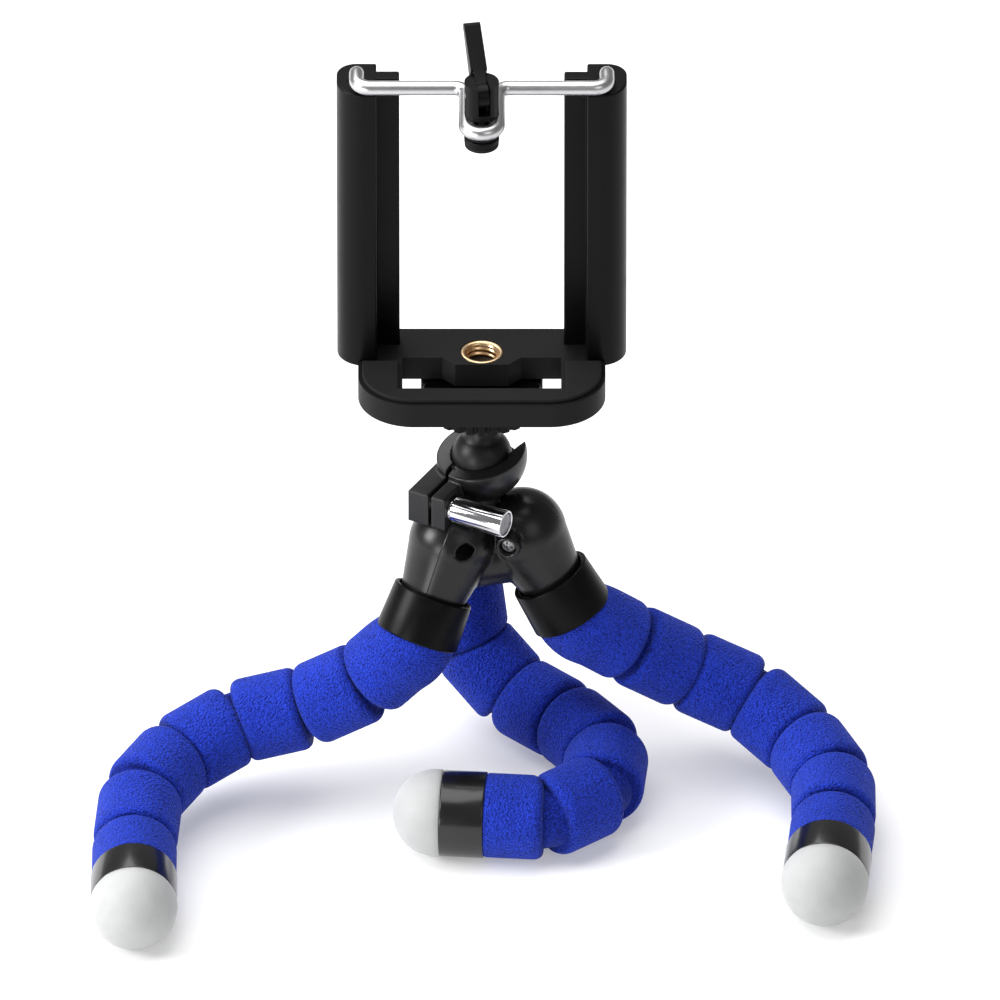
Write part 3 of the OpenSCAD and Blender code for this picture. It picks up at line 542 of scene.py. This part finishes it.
def swept(path, radius, around=32):
    """Rings of one radius at right angles to a path; a slanted helper that no part follows turns them."""
    path = np.asarray(path, float)
    along = unit(np.gradient(path, axis=0))
    one = unit(np.cross(along, SLANT))
    two = np.cross(along, one)
    turn = np.linspace(0, 2 * np.pi, around, endpoint=False)[None, :, None]
    return path[:, None] + radius * (np.cos(turn) * one[:, None] + np.sin(turn) * two[:, None])


CORE_RADIUS = 1.5 * MM
CORE_INSIDE = 14.3 * MM
CORE_END = 16.6 * MM


def core_shell(path):
    """The bendable wire inside the foam, along a short run of the leg."""
    return skin(swept(path, CORE_RADIUS, 12))


# %% Sleeves over the grooves between beads
LAST_HALF = 6.5 * MM
BLEND_LEAST, BLEND_MOST = 1.2 * MM, 3.0 * MM


def groove_piece(side, k, grooves, ways):
    """The sleeve across groove k of a leg, from one bead's middle to the next one's."""
    before, after = ways[k], ways[k + 1]
    angle, axis, inner_before, inner_after = bend_frame(before, after)
    half_before = np.linalg.norm(grooves[k] - grooves[k - 1]) / 2
    half_after = np.linalg.norm(grooves[k + 1] - grooves[k]) / 2 if k < LINKS - 1 else LAST_HALF
    here = grooves[k]
    one, cut_one = half_groove(here, -before, inner_before, axis, angle, half_before)
    two, cut_two = half_groove(here, after, inner_after, axis, angle, half_after)
    share = np.linspace(0, 1, FLOOR_ROWS + 2)[1:-1, None, None]
    floor = here + (1 - share) * (one[0] - here) + share * (two[0] - here)
    rings = np.concatenate([one[::-1], floor, two])
    cut = np.concatenate([cut_one[::-1], np.ones((FLOOR_ROWS, AROUND)), cut_two]).ravel()
    core = core_shell([here - half_before * before, here, here + half_after * after])
    shapes, finishes = [skin(rings), core], [blue_foam, steel]
    made = piece(f"{side}_sleeve_{k}", shapes, finishes, [f"{side}_foam_{k}"])
    fan_points = 2
    mark(made, "cut", np.pad(cut, (0, fan_points + len(core[0]))))
    middle_way = unit(before + after)
    reach = np.clip(FOAM_RADIUS * np.tan(angle / 2), BLEND_LEAST, BLEND_MOST)
    start, end = here - reach * middle_way, here + reach * middle_way
    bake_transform(made)


ELBOW_INSIDE = 0.2 * MM
ELBOW_THIN = 0.5 * MM
ELBOW_BLEND = 1.7 * MM
LEAD_SHARE, TAIL_SHARE, RISE_SHARE = 0.9, 1.1, 0.5
ELBOW_ROWS = 22


def elbow_piece(side, grooves, ways):
    """The sleeve from the cup's mouth to the first bead's middle: a tube on a smooth curve between them.

    The curve is a cubic with the neck's direction at its start and the first link's at its end.
    """
    neck, first = ways[0], ways[1]
    axis = bend_frame(neck, first)[1]
    half = np.linalg.norm(grooves[1] - grooves[0]) / 2
    t = np.linspace(0, 1, ELBOW_ROWS)[:, None]
    start, end = grooves[0] - ELBOW_INSIDE * neck, grooves[0] + half * first
    lead, tail = LEAD_SHARE * half * neck, TAIL_SHARE * half * first
    line = (2 * t**3 - 3 * t**2 + 1) * start + (t**3 - 2 * t**2 + t) * lead
    line = line + (3 * t**2 - 2 * t**3) * end + (t**3 - t**2) * tail
    slope = (6 * t**2 - 6 * t) * (start - end) + (3 * t**2 - 4 * t + 1) * lead + (3 * t**2 - 2 * t) * tail
    inner = np.cross(axis, unit(slope))
    rise = np.clip(t[:, 0] / RISE_SHARE, 0, 1)
    radius = FOAM_RADIUS - ELBOW_THIN * (1 - rise * rise * (3 - 2 * rise))
    out = np.cos(TURN)[None, :, None] * inner[:, None] + np.sin(TURN)[None, :, None] * axis
    rings = line[:, None] + radius[:, None, None] * out
    core = core_shell([start - CORE_INSIDE * neck, grooves[0], end])
    stands_for = [f"{side}_foam_1", f"{side}_core"]
    made = piece(f"{side}_sleeve_0", [skin(rings), core], [blue_foam, steel], stands_for)
    mark(made, "cut", np.zeros(len(made.data.vertices)))
    grooves[0] + ELBOW_BLEND * neck
    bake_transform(made)


RING_FROM = 13 * MM
TAIL_INSIDE = 0.3 * MM
TAIL_SOFT = 0.9 * MM
RIM_ROWS, TAIL_ROWS = 6, 4


def tail_piece(side, grooves, ways):
    """The sleeve's end, from the last bead's middle into the foot ring, with a softly rounded rim."""
    bow = np.linspace(0, np.pi / 2, RIM_ROWS)
    rim_along = RING_FROM + TAIL_INSIDE - TAIL_SOFT * (1 - np.sin(bow))
    rim = np.stack([rim_along, FOAM_RADIUS - TAIL_SOFT * (1 - np.cos(bow))], -1)
    run_along = np.linspace(LAST_HALF, rim[0, 0], TAIL_ROWS + 1)[:-1]
    run = np.stack([run_along, np.full(TAIL_ROWS, FOAM_RADIUS)], -1)
    rows = np.vstack([run, rim])
    side_way = unit(np.cross(ways[-1], (0, 0, 1)))
    up_way = np.cross(side_way, ways[-1])
    out = np.cos(TURN)[:, None] * side_way + np.sin(TURN)[:, None] * up_way
    rings = grooves[-1] + rows[:, None, :1] * ways[-1] + rows[:, None, 1:] * out
    core = core_shell([grooves[-1] + LAST_HALF * ways[-1], grooves[-1] + CORE_END * ways[-1]])
    shapes, finishes = [skin(rings), core], [blue_foam, steel]
    made = piece(f"{side}_sleeve_7", shapes, finishes, [f"{side}_foam_7"], f"{side}_link_7")
    mark(made, "cut", np.zeros(len(made.data.vertices)))


for side in LEGS:
    grooves, ways = leg_line(side)
    elbow_piece(side, grooves, ways)
    for k in range(1, LINKS):
        groove_piece(side, k, grooves, ways)
    tail_piece(side, grooves, ways)
    bends = [np.degrees(bend_frame(ways[k], ways[k + 1])[0]) for k in range(LINKS)]
    print(side, "leg bends by", np.round(bends, 1), "degrees at its grooves")

# %% [markdown]
# ## Cups, foot rings and tips
# These pieces were turned or moulded round, so each is a profile of radius and height swept round the
# leg's own axis. Sharp corners would look like a drawing, so one function replaces every corner of a
# profile by a small arc, as a mould does.


# %% Eased corners and turned shapes
def eased(corners, radii, steps=6, closed=True):
    """A line whose corners are arcs, in the plane or in space.

    With half angle h at a corner, an arc of radius r touches both sides at r / tan(h) from the corner,
    and its middle lies r / sin(h) away along the line that halves the angle.
    """
    corners = np.asarray(corners, float)
    radii = np.broadcast_to(np.asarray(radii, float), len(corners))[:, None]
    to_last = unit(np.roll(corners, 1, 0) - corners)
    to_next = unit(np.roll(corners, -1, 0) - corners)
    half = np.arccos(np.clip((to_last * to_next).sum(-1, keepdims=True), -1, 1)) / 2
    middle = corners + unit(to_last + to_next) * radii / np.sin(half)
    first = corners + to_last * radii / np.tan(half) - middle
    last = corners + to_next * radii / np.tan(half) - middle
    sweep = np.pi - 2 * half
    t = np.linspace(0, 1, steps)[None, :, None]
    arc = np.sin((1 - t) * sweep[:, None]) * first[:, None] + np.sin(t * sweep[:, None]) * last[:, None]
    arc = middle[:, None] + arc / np.sin(sweep)[:, None]
    if closed:
        return arc.reshape(-1, corners.shape[1])
    return np.vstack([corners[:1], arc[1:-1].reshape(-1, corners.shape[1]), corners[-1:]])


NEARLY_UP = 0.9


def across(axis):
    """Two directions at right angles to an axis and to each other."""
    axis = unit(axis)
    helper = (0.0, 0.0, 1.0) if abs(axis[2]) < NEARLY_UP else (1.0, 0.0, 0.0)
    one = unit(np.cross(axis, helper))
    return one, np.cross(axis, one)


def turned(profile, base, axis, around=AROUND):
    """Rings of a turned shape: each (radius, height) sweeps a circle round the axis from its base."""
    turn = np.linspace(0, 2 * np.pi, around, endpoint=False)
    one, two = across(axis)
    out = np.cos(turn)[:, None] * one + np.sin(turn)[:, None] * two
    profile = np.asarray(profile, float) * MM
    return base + profile[:, None, 1:] * unit(axis) + profile[:, None, :1] * out


# %% Cups, rings and tips of the three legs
CUP_OUTSIDE = [(6.05, 14.5), (7.6, 14.5), (7.6, 12.0), (8.7, 12.0), (9.2, 22.3)]
CUP = [*CUP_OUTSIDE, (2.0, 22.3), (2.0, 16.95), (6.05, 16.95)]
CUP_EASE = [0.2, 0.2, 0.2, 0.3, 0.45, 0.2, 0.2, 0.2]
MOUTH_REACH = 22.5 * MM
RING = [(8.42, 13.02), (9.3, 13.02), (9.3, 22.5), (8.42, 22.5)]
RING_EASE = [0.15, 0.35, 0.35, 0.15]
TIP_RADIUS = 9.4
TIP_FROM = 23.7


def tip_profile():
    """A spigot inside the ring, a narrow step, then a round nose of TIP_RADIUS that starts at the ring."""
    bow = np.linspace(0, np.pi / 2, 30)[:-1]
    nose = np.stack([TIP_RADIUS * np.cos(bow), TIP_FROM + TIP_RADIUS * np.sin(bow)], -1)
    spigot = [(0.3, 19.12), (8.1, 19.12), (8.38, 19.4), (8.38, 22.54), (9.2, 22.56), (9.37, 22.8)]
    return np.vstack([spigot, nose, [(0.2, TIP_FROM + TIP_RADIUS - 0.01)]])


domes = {}
for side in LEGS:
    grooves, ways = leg_line(side)
    foot_link = f"{side}_link_{LINKS}"
    domes[side] = grooves[0] - MOUTH_REACH * ways[0]
    cup = skin(turned(eased(CUP, CUP_EASE), domes[side], ways[0]), loop=True)
    piece(f"{side}_cup_shell", [cup], [satin_black], [f"{side}_cup"], "hub")
    ring = skin(turned(eased(RING, RING_EASE), grooves[-1], ways[-1]), loop=True)
    piece(f"{side}_foot_ring", [ring], [gloss_black], [f"{side}_ring"], foot_link)
    nose = turned(tip_profile(), grooves[-1], ways[-1])
    piece(f"{side}_foot_tip", [skin(nose)], [milky_rubber], [f"{side}_tip"], foot_link)
print("a cup, a ring and a tip on each of", len(domes), "legs")

# %% [markdown]
# ## The bail
# One length of chromed wire is bent into the bail: two legs that slide in the rails, a cross run, and
# a loop at the front that carries the press bush. It is a circle swept along a path with eased corners.


# %% A wire along a path
insert_low, insert_high = (np.array(corner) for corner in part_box("thread_insert"))
clip_at = np.array([*(insert_low + insert_high)[:2] / 2, insert_high[2]])
WIRE_RADIUS = 1.6 * MM
RAIL_HALF = 26.7
RAIL_BACK = 2
BAIL_TOP = 70.6
CROSS_FRONT = -5.9
LOOP_HALF = 3.35
BAIL_HALF = [
    (RAIL_HALF, RAIL_BACK, 17),
    (RAIL_HALF, RAIL_BACK, BAIL_TOP),
    (RAIL_HALF, CROSS_FRONT, BAIL_TOP),
    (LOOP_HALF, CROSS_FRONT, BAIL_TOP),
    (LOOP_HALF, -23.95, BAIL_TOP),
]
bail_corners = np.array(BAIL_HALF + [(-x, y, z) for x, y, z in BAIL_HALF[::-1]], float)
bail_ease = np.array([1, 3, 3, 2.6, 3.34, 3.34, 2.6, 3, 3, 1])
bail_path = clip_at + eased(bail_corners, bail_ease, 12, closed=False) * MM
piece("wire_bail", [skin(swept(bail_path, WIRE_RADIUS))], [satin_chrome], ["bail"], "bail")
print("bail path of", len(bail_path), "points")

# %% [markdown]
# ## Moulded parts
# The rails, the base, the bush and the lever came out of moulds, so none of their edges is sharp. The
# solid model has their exact outlines already. A copy of each solid is merged, its flat faces are
# joined again, and a bevel rounds every edge. Weighted normals keep the flat faces flat beside the
# rounded edges. The hub and its collar run softly into each other, so their copies are made again from
# small cubes and smoothed, which fills each inner corner like the round of a mould. A filler is a closed
# shell that is joined to the copies before that.

# %% Copies of solids with eased edges
MERGE = 0.001 * MM
FLAT_WITHIN = np.radians(0.4)
EDGE_FROM = np.radians(32)


def merged_copy(name, nodes, fillers=()):
    """A mesh of copies of solids: doubles are merged and faces of one plane are joined."""
    work = bmesh.new()
    for points, faces in fillers:
        filler = bpy.data.meshes.new("filler")
        filler.from_pydata(points.tolist(), [], faces)
        work.from_mesh(filler)
    for node in nodes:
        work.from_mesh(frame["nodes"][node].data)
    bmesh.ops.remove_doubles(work, verts=work.verts, dist=MERGE)
    bmesh.ops.dissolve_limit(work, angle_limit=FLAT_WITHIN, verts=work.verts, edges=work.edges)
    mesh = bpy.data.meshes.new(name)
    work.to_mesh(mesh)
    work.free()
    mesh.polygons.foreach_set("use_smooth", np.ones(len(mesh.polygons), bool))
    return mesh


def worked(name, nodes, finish, body, steps, fillers=()):
    """Copies of solids with modifiers applied in order; each step is a kind and its settings."""
    rough = bpy.data.objects.new("rough_copy", merged_copy(name, nodes, fillers))
    bpy.context.scene.collection.objects.link(rough)
    for kind, settings in steps:
        step = rough.modifiers.new(kind, kind)
        for key, value in settings.items():
            setattr(step, key, value)
    mesh = bpy.data.meshes.new_from_object(rough.evaluated_get(bpy.context.evaluated_depsgraph_get()))
    bpy.data.objects.remove(rough)
    mesh.name = name
    mesh.materials.clear()
    mesh.materials.append(finish)
    print(name, "has", len(mesh.polygons), "faces")
    return dress(bpy.data.objects.new(name, mesh), nodes, body)


def bevelled(name, node, width_mm, finish, slot, body):
    """A copy whose edges of more than EDGE_FROM are rounded by a bevel of one width."""
    round_edges = {"width": width_mm * MM, "segments": 3, "limit_method": "ANGLE", "angle_limit": EDGE_FROM}
    even_light = {"keep_sharp": False, "weight": 50}
    steps = [("BEVEL", round_edges), ("WEIGHTED_NORMAL", even_light)]
    return worked(name, [node], finish, body, steps)


def remoulded(name, nodes, cube_mm, rounds, finish, body, fillers=()):
    """Copies made into one skin of small cubes, then smoothed for some rounds."""
    cubes = {"mode": "VOXEL", "voxel_size": cube_mm * MM, "use_smooth_shade": True}
    soften = {"factor": 0.5, "iterations": rounds}
    steps = [("REMESH", cubes), ("SMOOTH", soften)]
    return worked(name, nodes, finish, body, steps, fillers)


# %% Base, pad, rails and collar
BEVELLED = [
    ("base_plate", "clip_base", 0.7, matte_black, "black_plastic", "clip"),
    ("base_pad", "grip_pad", 0.3, pad_rubber, "rubber", "clip"),
    ("rail_on_the_left", "left_rail", 0.45, satin_black, "satin_plastic", "clip"),
    ("rail_on_the_right", "right_rail", 0.45, satin_black, "satin_plastic", "clip"),
    ("bush_body", "press_bush", 0.4, satin_black, "satin_plastic", "bush"),
    ("lever_blade", "cam_lever", 0.4, satin_black, "satin_plastic", "lever"),
    ("hex_nut", "collar_nut", 0.25, steel, "steel", "hub"),
]
for row in BEVELLED:
    bevelled(*row)
COLLAR_CUBE, COLLAR_ROUNDS = 0.2, 9
remoulded("clamp_collar", ["socket_collar"], COLLAR_CUBE, COLLAR_ROUNDS, ears_black, "hub")

# %% [markdown]
# ## The hub's skin
# The hub is two moulded shells held by two screws. It shows a fine parting line where the shells meet,
# and a mould line down the dome of the left leg. Both are grooves of a tenth of a millimetre, so they
# are drawn in the finish as distances from planes and bend the light there. Low between the two front
# domes a web closes the hub, and a short round bar from dome to dome fills it.


# %% Parting lines in the hub's finish
BALL_AT = np.array(joints["ball_pan"]["pos_m"])
HUB_TURN = np.radians(-14)
HUB_OUT = np.array([np.sin(HUB_TURN), -np.cos(HUB_TURN), 0.0])
HUB_ALONG = np.array([np.cos(HUB_TURN), np.sin(HUB_TURN), 0.0])
HUB_DARK = (0.004, 0.004, 0.004, 1)
HUB_LIGHT = (0.008, 0.008, 0.0083, 1)
LINE_ACROSS = (-0.2, -0.84, 0.5)
PARTING_HALF, MOULD_HALF = 0.12, 0.14


def groove_at(s, place, point, normal, half_mm):
    """1 on a plane through a point, falling to 0 at half_mm from it."""
    normal = unit(normal)
    values = {0: place, 1: tuple(normal)}
    dot = s.node("ShaderNodeVectorMath", {"operation": "DOT_PRODUCT"}, values, out="Value")
    away = s.math("ABSOLUTE", dot - float(np.dot(point, normal)), 0.0)
    return s.math("MAXIMUM", 1 - away * (1 / (half_mm * MM)), 0.0)


def hub_finish():
    """Satin black with the two lines pressed in: height = 0.1 grain + 0.15 patch - the lines' shares."""
    material, s, surface = new_finish("hub_black", Specular_IOR_Level=0.3)
    place = s.node("ShaderNodeTexCoord", out="Object")
    parting = groove_at(s, place, BALL_AT, -HUB_OUT, PARTING_HALF)
    grooves, ways = leg_line("left")
    mould_line = groove_at(s, place, grooves[0], np.cross(ways[0], LINE_ACROSS), MOULD_HALF)
    patch = noise(s, place, 0.3, 4.0)
    grain = noise(s, place, 1.6, 2.0)
    feed(surface, "Base Color", blend_colour(s, patch, HUB_DARK, HUB_LIGHT))
    feed(surface, "Roughness", 0.3 + 0.2 * (patch - 0.5))
    feed(surface, "Normal", bump(s, 0.1 * grain + 0.15 * patch - 0.6 * parting - 0.5 * mould_line, 0.1))
    return material


hub_black = hub_finish()
HUB_WEB_LOW = np.array([0, 0, 4.4]) * MM
HUB_WEB_RADIUS = 7.0 * MM
HUB_CUBE, HUB_ROUNDS = 0.3, 6
HUB_SHELLS = ["hub_front_shell", "hub_rear_shell"]
web_path = [domes["left"] - HUB_WEB_LOW, domes["right"] - HUB_WEB_LOW]
web = outward(skin(swept(web_path, HUB_WEB_RADIUS, 64)))
remoulded("hub_body", HUB_SHELLS, HUB_CUBE, HUB_ROUNDS, hub_black, "hub", [web])

# %% [markdown]
# ## Turned and threaded parts
# Ball, stem, screw, washer and press foot are round, so each is a profile swept round its own axis.
# Two of them need more than a profile. The lock wheel's rim dips at each finger notch, so its radius
# also depends on the angle. The brass insert carries a thread, whose radius follows height and angle
# together, as a helix does.

# %% Ball, stem and clamp screw
BALL_RADIUS = 6.5
STEM_RADIUS = 3.2
BALL_ENDS = np.radians(50)
UP = np.array([0.0, 0.0, 1.0])
SCREW_AT = np.array(joints["clamp_turn"]["pos_m"])
SCREW_WAY = np.array(joints["clamp_turn"]["axis"])


def ball_profile():
    """A ball, a flare that runs up the stem, the plain stem and the end of its thread."""
    bow = np.linspace(-np.pi / 2, BALL_ENDS, 40)[1:]
    ball = BALL_RADIUS * np.stack([np.cos(bow), np.sin(bow)], -1)
    t = np.linspace(0, 1, 10)[1:]
    end_radius, end_height = ball[-1]
    flare_radius = end_radius + (STEM_RADIUS - end_radius) * (1 - (1 - t) ** 2)
    flare = np.stack([flare_radius, end_height + STEM_RADIUS * t], -1)
    stem = [(STEM_RADIUS, 14.0), (STEM_RADIUS, 20.5)]
    thread_end = [(3.0, 20.75), (3.08, 21.2), (3.08, 23.1), (2.8, 23.38), (0.5, 23.38)]
    return np.vstack([[(0.3, -BALL_RADIUS)], ball, flare, stem, thread_end])


stud = turned(ball_profile(), BALL_AT, UP)
piece("ball_and_stem", [skin(stud)], [ball_black], ["ball_stud"], "stud")
SCREW = [(1.5, -8.88), (1.5, 0.76), (3.0, 0.76), (3.0, 13.12), (2.55, 13.12), (2.5, 12.2), (0.2, 12.2)]
screw_line = eased([(0.2, -8.88), *SCREW], [0.05, 0.3, 0.05, 0.25, 0.14, 0.12, 0.1, 0.05], 5)
screw = turned(screw_line, SCREW_AT, SCREW_WAY)
plug_line = eased([(0.1, 12.25), (2.46, 12.25), (2.46, 12.8), (0.1, 12.8)], [0.04, 0.1, 0.1, 0.04])
plug = turned(plug_line, SCREW_AT, SCREW_WAY)
piece("bright_screw", [skin(screw), skin(plug)], [chrome, dull_steel], ["clamp_screw"], "screw")
washer = turned(eased([(1.56, 0.03), (2.7, 0.03), (2.7, 0.71), (1.56, 0.71)], 0.12), SCREW_AT, SCREW_WAY)
piece("screw_washer", [skin(washer, loop=True)], [chrome], ["clamp_washer"], "washer")
print("ball of", BALL_RADIUS, "mm, screw and washer")

# %% Lock wheel
WHEEL_LOW = np.array(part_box("lock_wheel")[0])[2]
NOTCHES = 30
NOTCH_RADIUS = 0.6
NOTCH_STEPS = 14
NOTCHED_FROM, NOTCH_FADE = 11, 1.5
WHEEL_BORE, WHEEL_RADIUS, WHEEL_HIGH = 3.32, 13.1, 7
WHEEL_EASE = [0.2, 0.5, 0.7, 0.2]


def notched_wheel():
    """A wheel's rings: the profile's radius, less a round notch where the rim comes near one.

    At an arc length d from the nearest notch's middle the notch is sqrt(r * r - d * d) deep.
    """
    low_edge, high_edge = (WHEEL_RADIUS, 0), (WHEEL_RADIUS, WHEEL_HIGH)
    line = eased([(WHEEL_BORE, 0), low_edge, high_edge, (WHEEL_BORE, WHEEL_HIGH)], WHEEL_EASE)
    turn = np.linspace(0, 2 * np.pi, NOTCHES * NOTCH_STEPS, endpoint=False)
    from_notch = (turn * NOTCHES / (2 * np.pi) + 0.5) % 1 - 0.5
    across_notch = from_notch * 2 * np.pi / NOTCHES * WHEEL_RADIUS
    depth = np.sqrt(np.clip(NOTCH_RADIUS**2 - across_notch**2, 0, None))
    share = np.clip((line[:, :1] - NOTCHED_FROM) / NOTCH_FADE, 0, 1)
    radius = line[:, :1] - share * depth
    height = np.repeat(line[:, 1:], len(turn), 1)
    rings = np.stack([radius * np.cos(turn), radius * np.sin(turn), height], -1)
    return np.array([BALL_AT[0], BALL_AT[1], WHEEL_LOW]) + rings * MM


wheel = skin(notched_wheel(), loop=True)
piece("finger_wheel", [wheel], [satin_black], ["lock_wheel"], "wheel")
print("lock wheel with", NOTCHES, "notches")

# %% Brass insert
THREAD_PITCH = 1.27
THREAD_DEEP = 0.3
THREAD_BORE = 3.2
THREAD_TOP, THREAD_END = -0.7, -5.3
THREAD_FADE = 0.4
THREAD_ROWS = 60


def threaded_insert():
    """A tube with a helix in its bore: radius = bore + depth (1 + cos(turn - 2 pi height / pitch)) / 2."""
    outside = [(3.9, -5.5), (4.58, -5.3), (4.58, -0.2), (4.35, 0.0), (3.85, 0.0), (3.55, -0.35)]
    down = np.linspace(THREAD_TOP, THREAD_END, THREAD_ROWS)
    line = np.vstack([outside, np.stack([np.full(THREAD_ROWS, THREAD_BORE), down], -1)])
    fade = np.clip((down - THREAD_END) / THREAD_FADE, 0, 1)
    cut = np.concatenate([np.zeros(len(outside)), fade])[:, None]
    helix = 0.5 + 0.5 * np.cos(TURN[None, :] - 2 * np.pi * line[:, 1:] / THREAD_PITCH)
    radius = line[:, :1] + THREAD_DEEP * cut * helix
    height = np.repeat(line[:, 1:], AROUND, 1)
    return clip_at + np.stack([radius * np.cos(TURN), radius * np.sin(TURN), height], -1) * MM


piece("brass_insert", [skin(threaded_insert(), loop=True)], [brass], ["thread_insert"], "clip")
print("thread of pitch", THREAD_PITCH, "mm")

# %% Screws of the hub
HUB_SCREW_DROP = 15.4 * MM
HUB_SCREW_SHIFTS = (0.0, 8.5)
HEAD_RADIUS, HEAD_FROM, HEAD_HIGH = 1.7, 10.1, 0.7
CROSS_HALF, CROSS_SOFT, CROSS_REACH, CROSS_FADE, CROSS_DEEP = 0.42, 0.16, 1.25, 0.2, 0.6
HEAD_TOP_OVER = 10


def crossed_screw(base):
    """A screw along the hub's front: shank, round head, and a cross pressed into the head.

    The cross is where the distance from either of two lines over the head is small.
    """
    shank = [(0.1, -5.0), (0.95, -4.9), (1.0, 9.2), (1.6, 9.22)]
    body = np.array([*shank, (HEAD_RADIUS, 9.32), (HEAD_RADIUS, HEAD_FROM)])
    bow = np.linspace(0, np.pi / 2, 16)[1:-1]
    head = np.stack([HEAD_RADIUS * np.cos(bow), HEAD_FROM + HEAD_HIGH * np.sin(bow)], -1)
    line = np.vstack([body, head])
    one, two = across(HUB_OUT)
    u, v = line[:, :1] * np.cos(TURN), line[:, :1] * np.sin(TURN)
    nearest = np.minimum(np.abs(u), np.abs(v))
    cross = np.clip((CROSS_HALF - nearest) / CROSS_SOFT, 0, 1)
    cross = cross * np.clip((CROSS_REACH - line[:, :1]) / CROSS_FADE, 0, 1)
    height = line[:, 1:] - CROSS_DEEP * cross * (line[:, 1:] > HEAD_TOP_OVER)
    return base + (height[..., None] * HUB_OUT + u[..., None] * one + v[..., None] * two) * MM


screw_feet = [BALL_AT + shift * MM * HUB_ALONG - HUB_SCREW_DROP * UP for shift in HUB_SCREW_SHIFTS]
shells = [skin(crossed_screw(foot)) for foot in screw_feet]
piece("hub_screw_pair", shells, [dull_steel, dull_steel], ["hub_screws"], "hub")
print(len(shells), "hub screws")

# %% Press foot, its pad and the lever's pin
FOOT_AT = np.array([*np.array(joints["bush_turn"]["pos_m"])[:2], clip_at[2]])
FOOT = [(0.1, 65.4), (3.75, 65.4), (3.75, 66.9), (0.8, 66.9), (0.8, 74.6), (0.1, 74.6)]
foot_line = eased(FOOT, [0.04, 0.3, 0.3, 0.1, 0.1, 0.04])
foot = skin(turned(foot_line, FOOT_AT, UP))
piece("foot_disc", [foot], [satin_black], ["press_foot"], "foot")
pad_line = eased([(0.1, 64.4), (3.65, 64.4), (3.65, 65.36), (0.1, 65.36)], [0.04, 0.3, 0.1, 0.04])
piece("foot_cushion", [skin(turned(pad_line, FOOT_AT, UP))], [pad_rubber], ["foot_pad"], "foot")
PIN_AT = np.array(joints["lever_flip"]["pos_m"])
PIN_WAY = np.array(joints["lever_flip"]["axis"])
pin_line = eased([(0.05, -3.58), (0.8, -3.58), (0.8, 3.58), (0.05, 3.58)], [0.02, 0.15, 0.15, 0.02])
piece("hinge_pin", [skin(turned(pin_line, PIN_AT, PIN_WAY, 32))], [steel], ["lever_pin"], "bush")
print("press foot, pad and pin")

# %% Springs and their seats inside the rails
SPRING_LOW, SPRING_HIGH = 20.5, 61.5
CURLS = 9
RAIL_AT = {"left": -RAIL_HALF, "right": RAIL_HALF}
COIL_RADIUS = 2.4
COIL_WIRE = 0.4 * MM
CURL_STEPS = 28
for side, x in RAIL_AT.items():
    turn = np.linspace(0, 2 * np.pi * CURLS, CURLS * CURL_STEPS)
    height = np.linspace(SPRING_LOW, SPRING_HIGH, len(turn))
    round_x, round_y = x + COIL_RADIUS * np.cos(turn), RAIL_BACK + COIL_RADIUS * np.sin(turn)
    coil = clip_at + np.stack([round_x, round_y, height], -1) * MM
    wire = skin(swept(coil, COIL_WIRE, 10))
    made = piece(f"{side}_coil", [wire], [steel], [f"{side}_spring"], "clip")
    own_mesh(made)
seat_line = eased([(1.63, 17.5), (3.08, 17.5), (3.08, 20.0), (1.63, 20.0)], 0.15)
seat_feet = [clip_at + np.array([x, RAIL_BACK, 0]) * MM for x in RAIL_AT.values()]
seats = [skin(turned(seat_line, foot, UP, 48), loop=True) for foot in seat_feet]
piece("spring_seats", seats, [steel, steel], ["bail_retainers"], "bail")
print(len(RAIL_AT), "springs of", CURLS, "curls")

# %% [markdown]
# ## The floor
# A wide pale sheet under the feet closes the scene. It is stage, not part of the object.


# %% A plain pale floor
FLOOR_REACH = 6.0
FLOOR_DARK = (0.68, 0.68, 0.68, 1)
FLOOR_LIGHT = (0.70, 0.70, 0.70, 1)
FLOOR_GLOW = {"Emission_Strength": 0.3, "Emission_Color": (1, 1, 1, 1)}


def pale_floor():
    """A matte square under the feet that glows a little, so that shadows on it stay pale."""
    material, s, surface = new_finish("pale_floor", Roughness=0.9, Specular_IOR_Level=0.1, **FLOOR_GLOW)
    place = s.node("ShaderNodeTexCoord", out="Object")
    feed(surface, "Base Color", blend_colour(s, noise(s, place, 0.002), FLOOR_DARK, FLOOR_LIGHT))
    corners = [(x * FLOOR_REACH, y * FLOOR_REACH, 0) for x, y in ((-1, -1), (1, -1), (1, 1), (-1, 1))]
    mesh = bpy.data.meshes.new("pale_floor")
    mesh.from_pydata(corners, [], [(0, 1, 2, 3)])
    mesh.materials.append(material)
    floor = bpy.data.objects.new("pale_floor", mesh)
    bpy.context.scene.collection.objects.link(floor)


pale_floor()
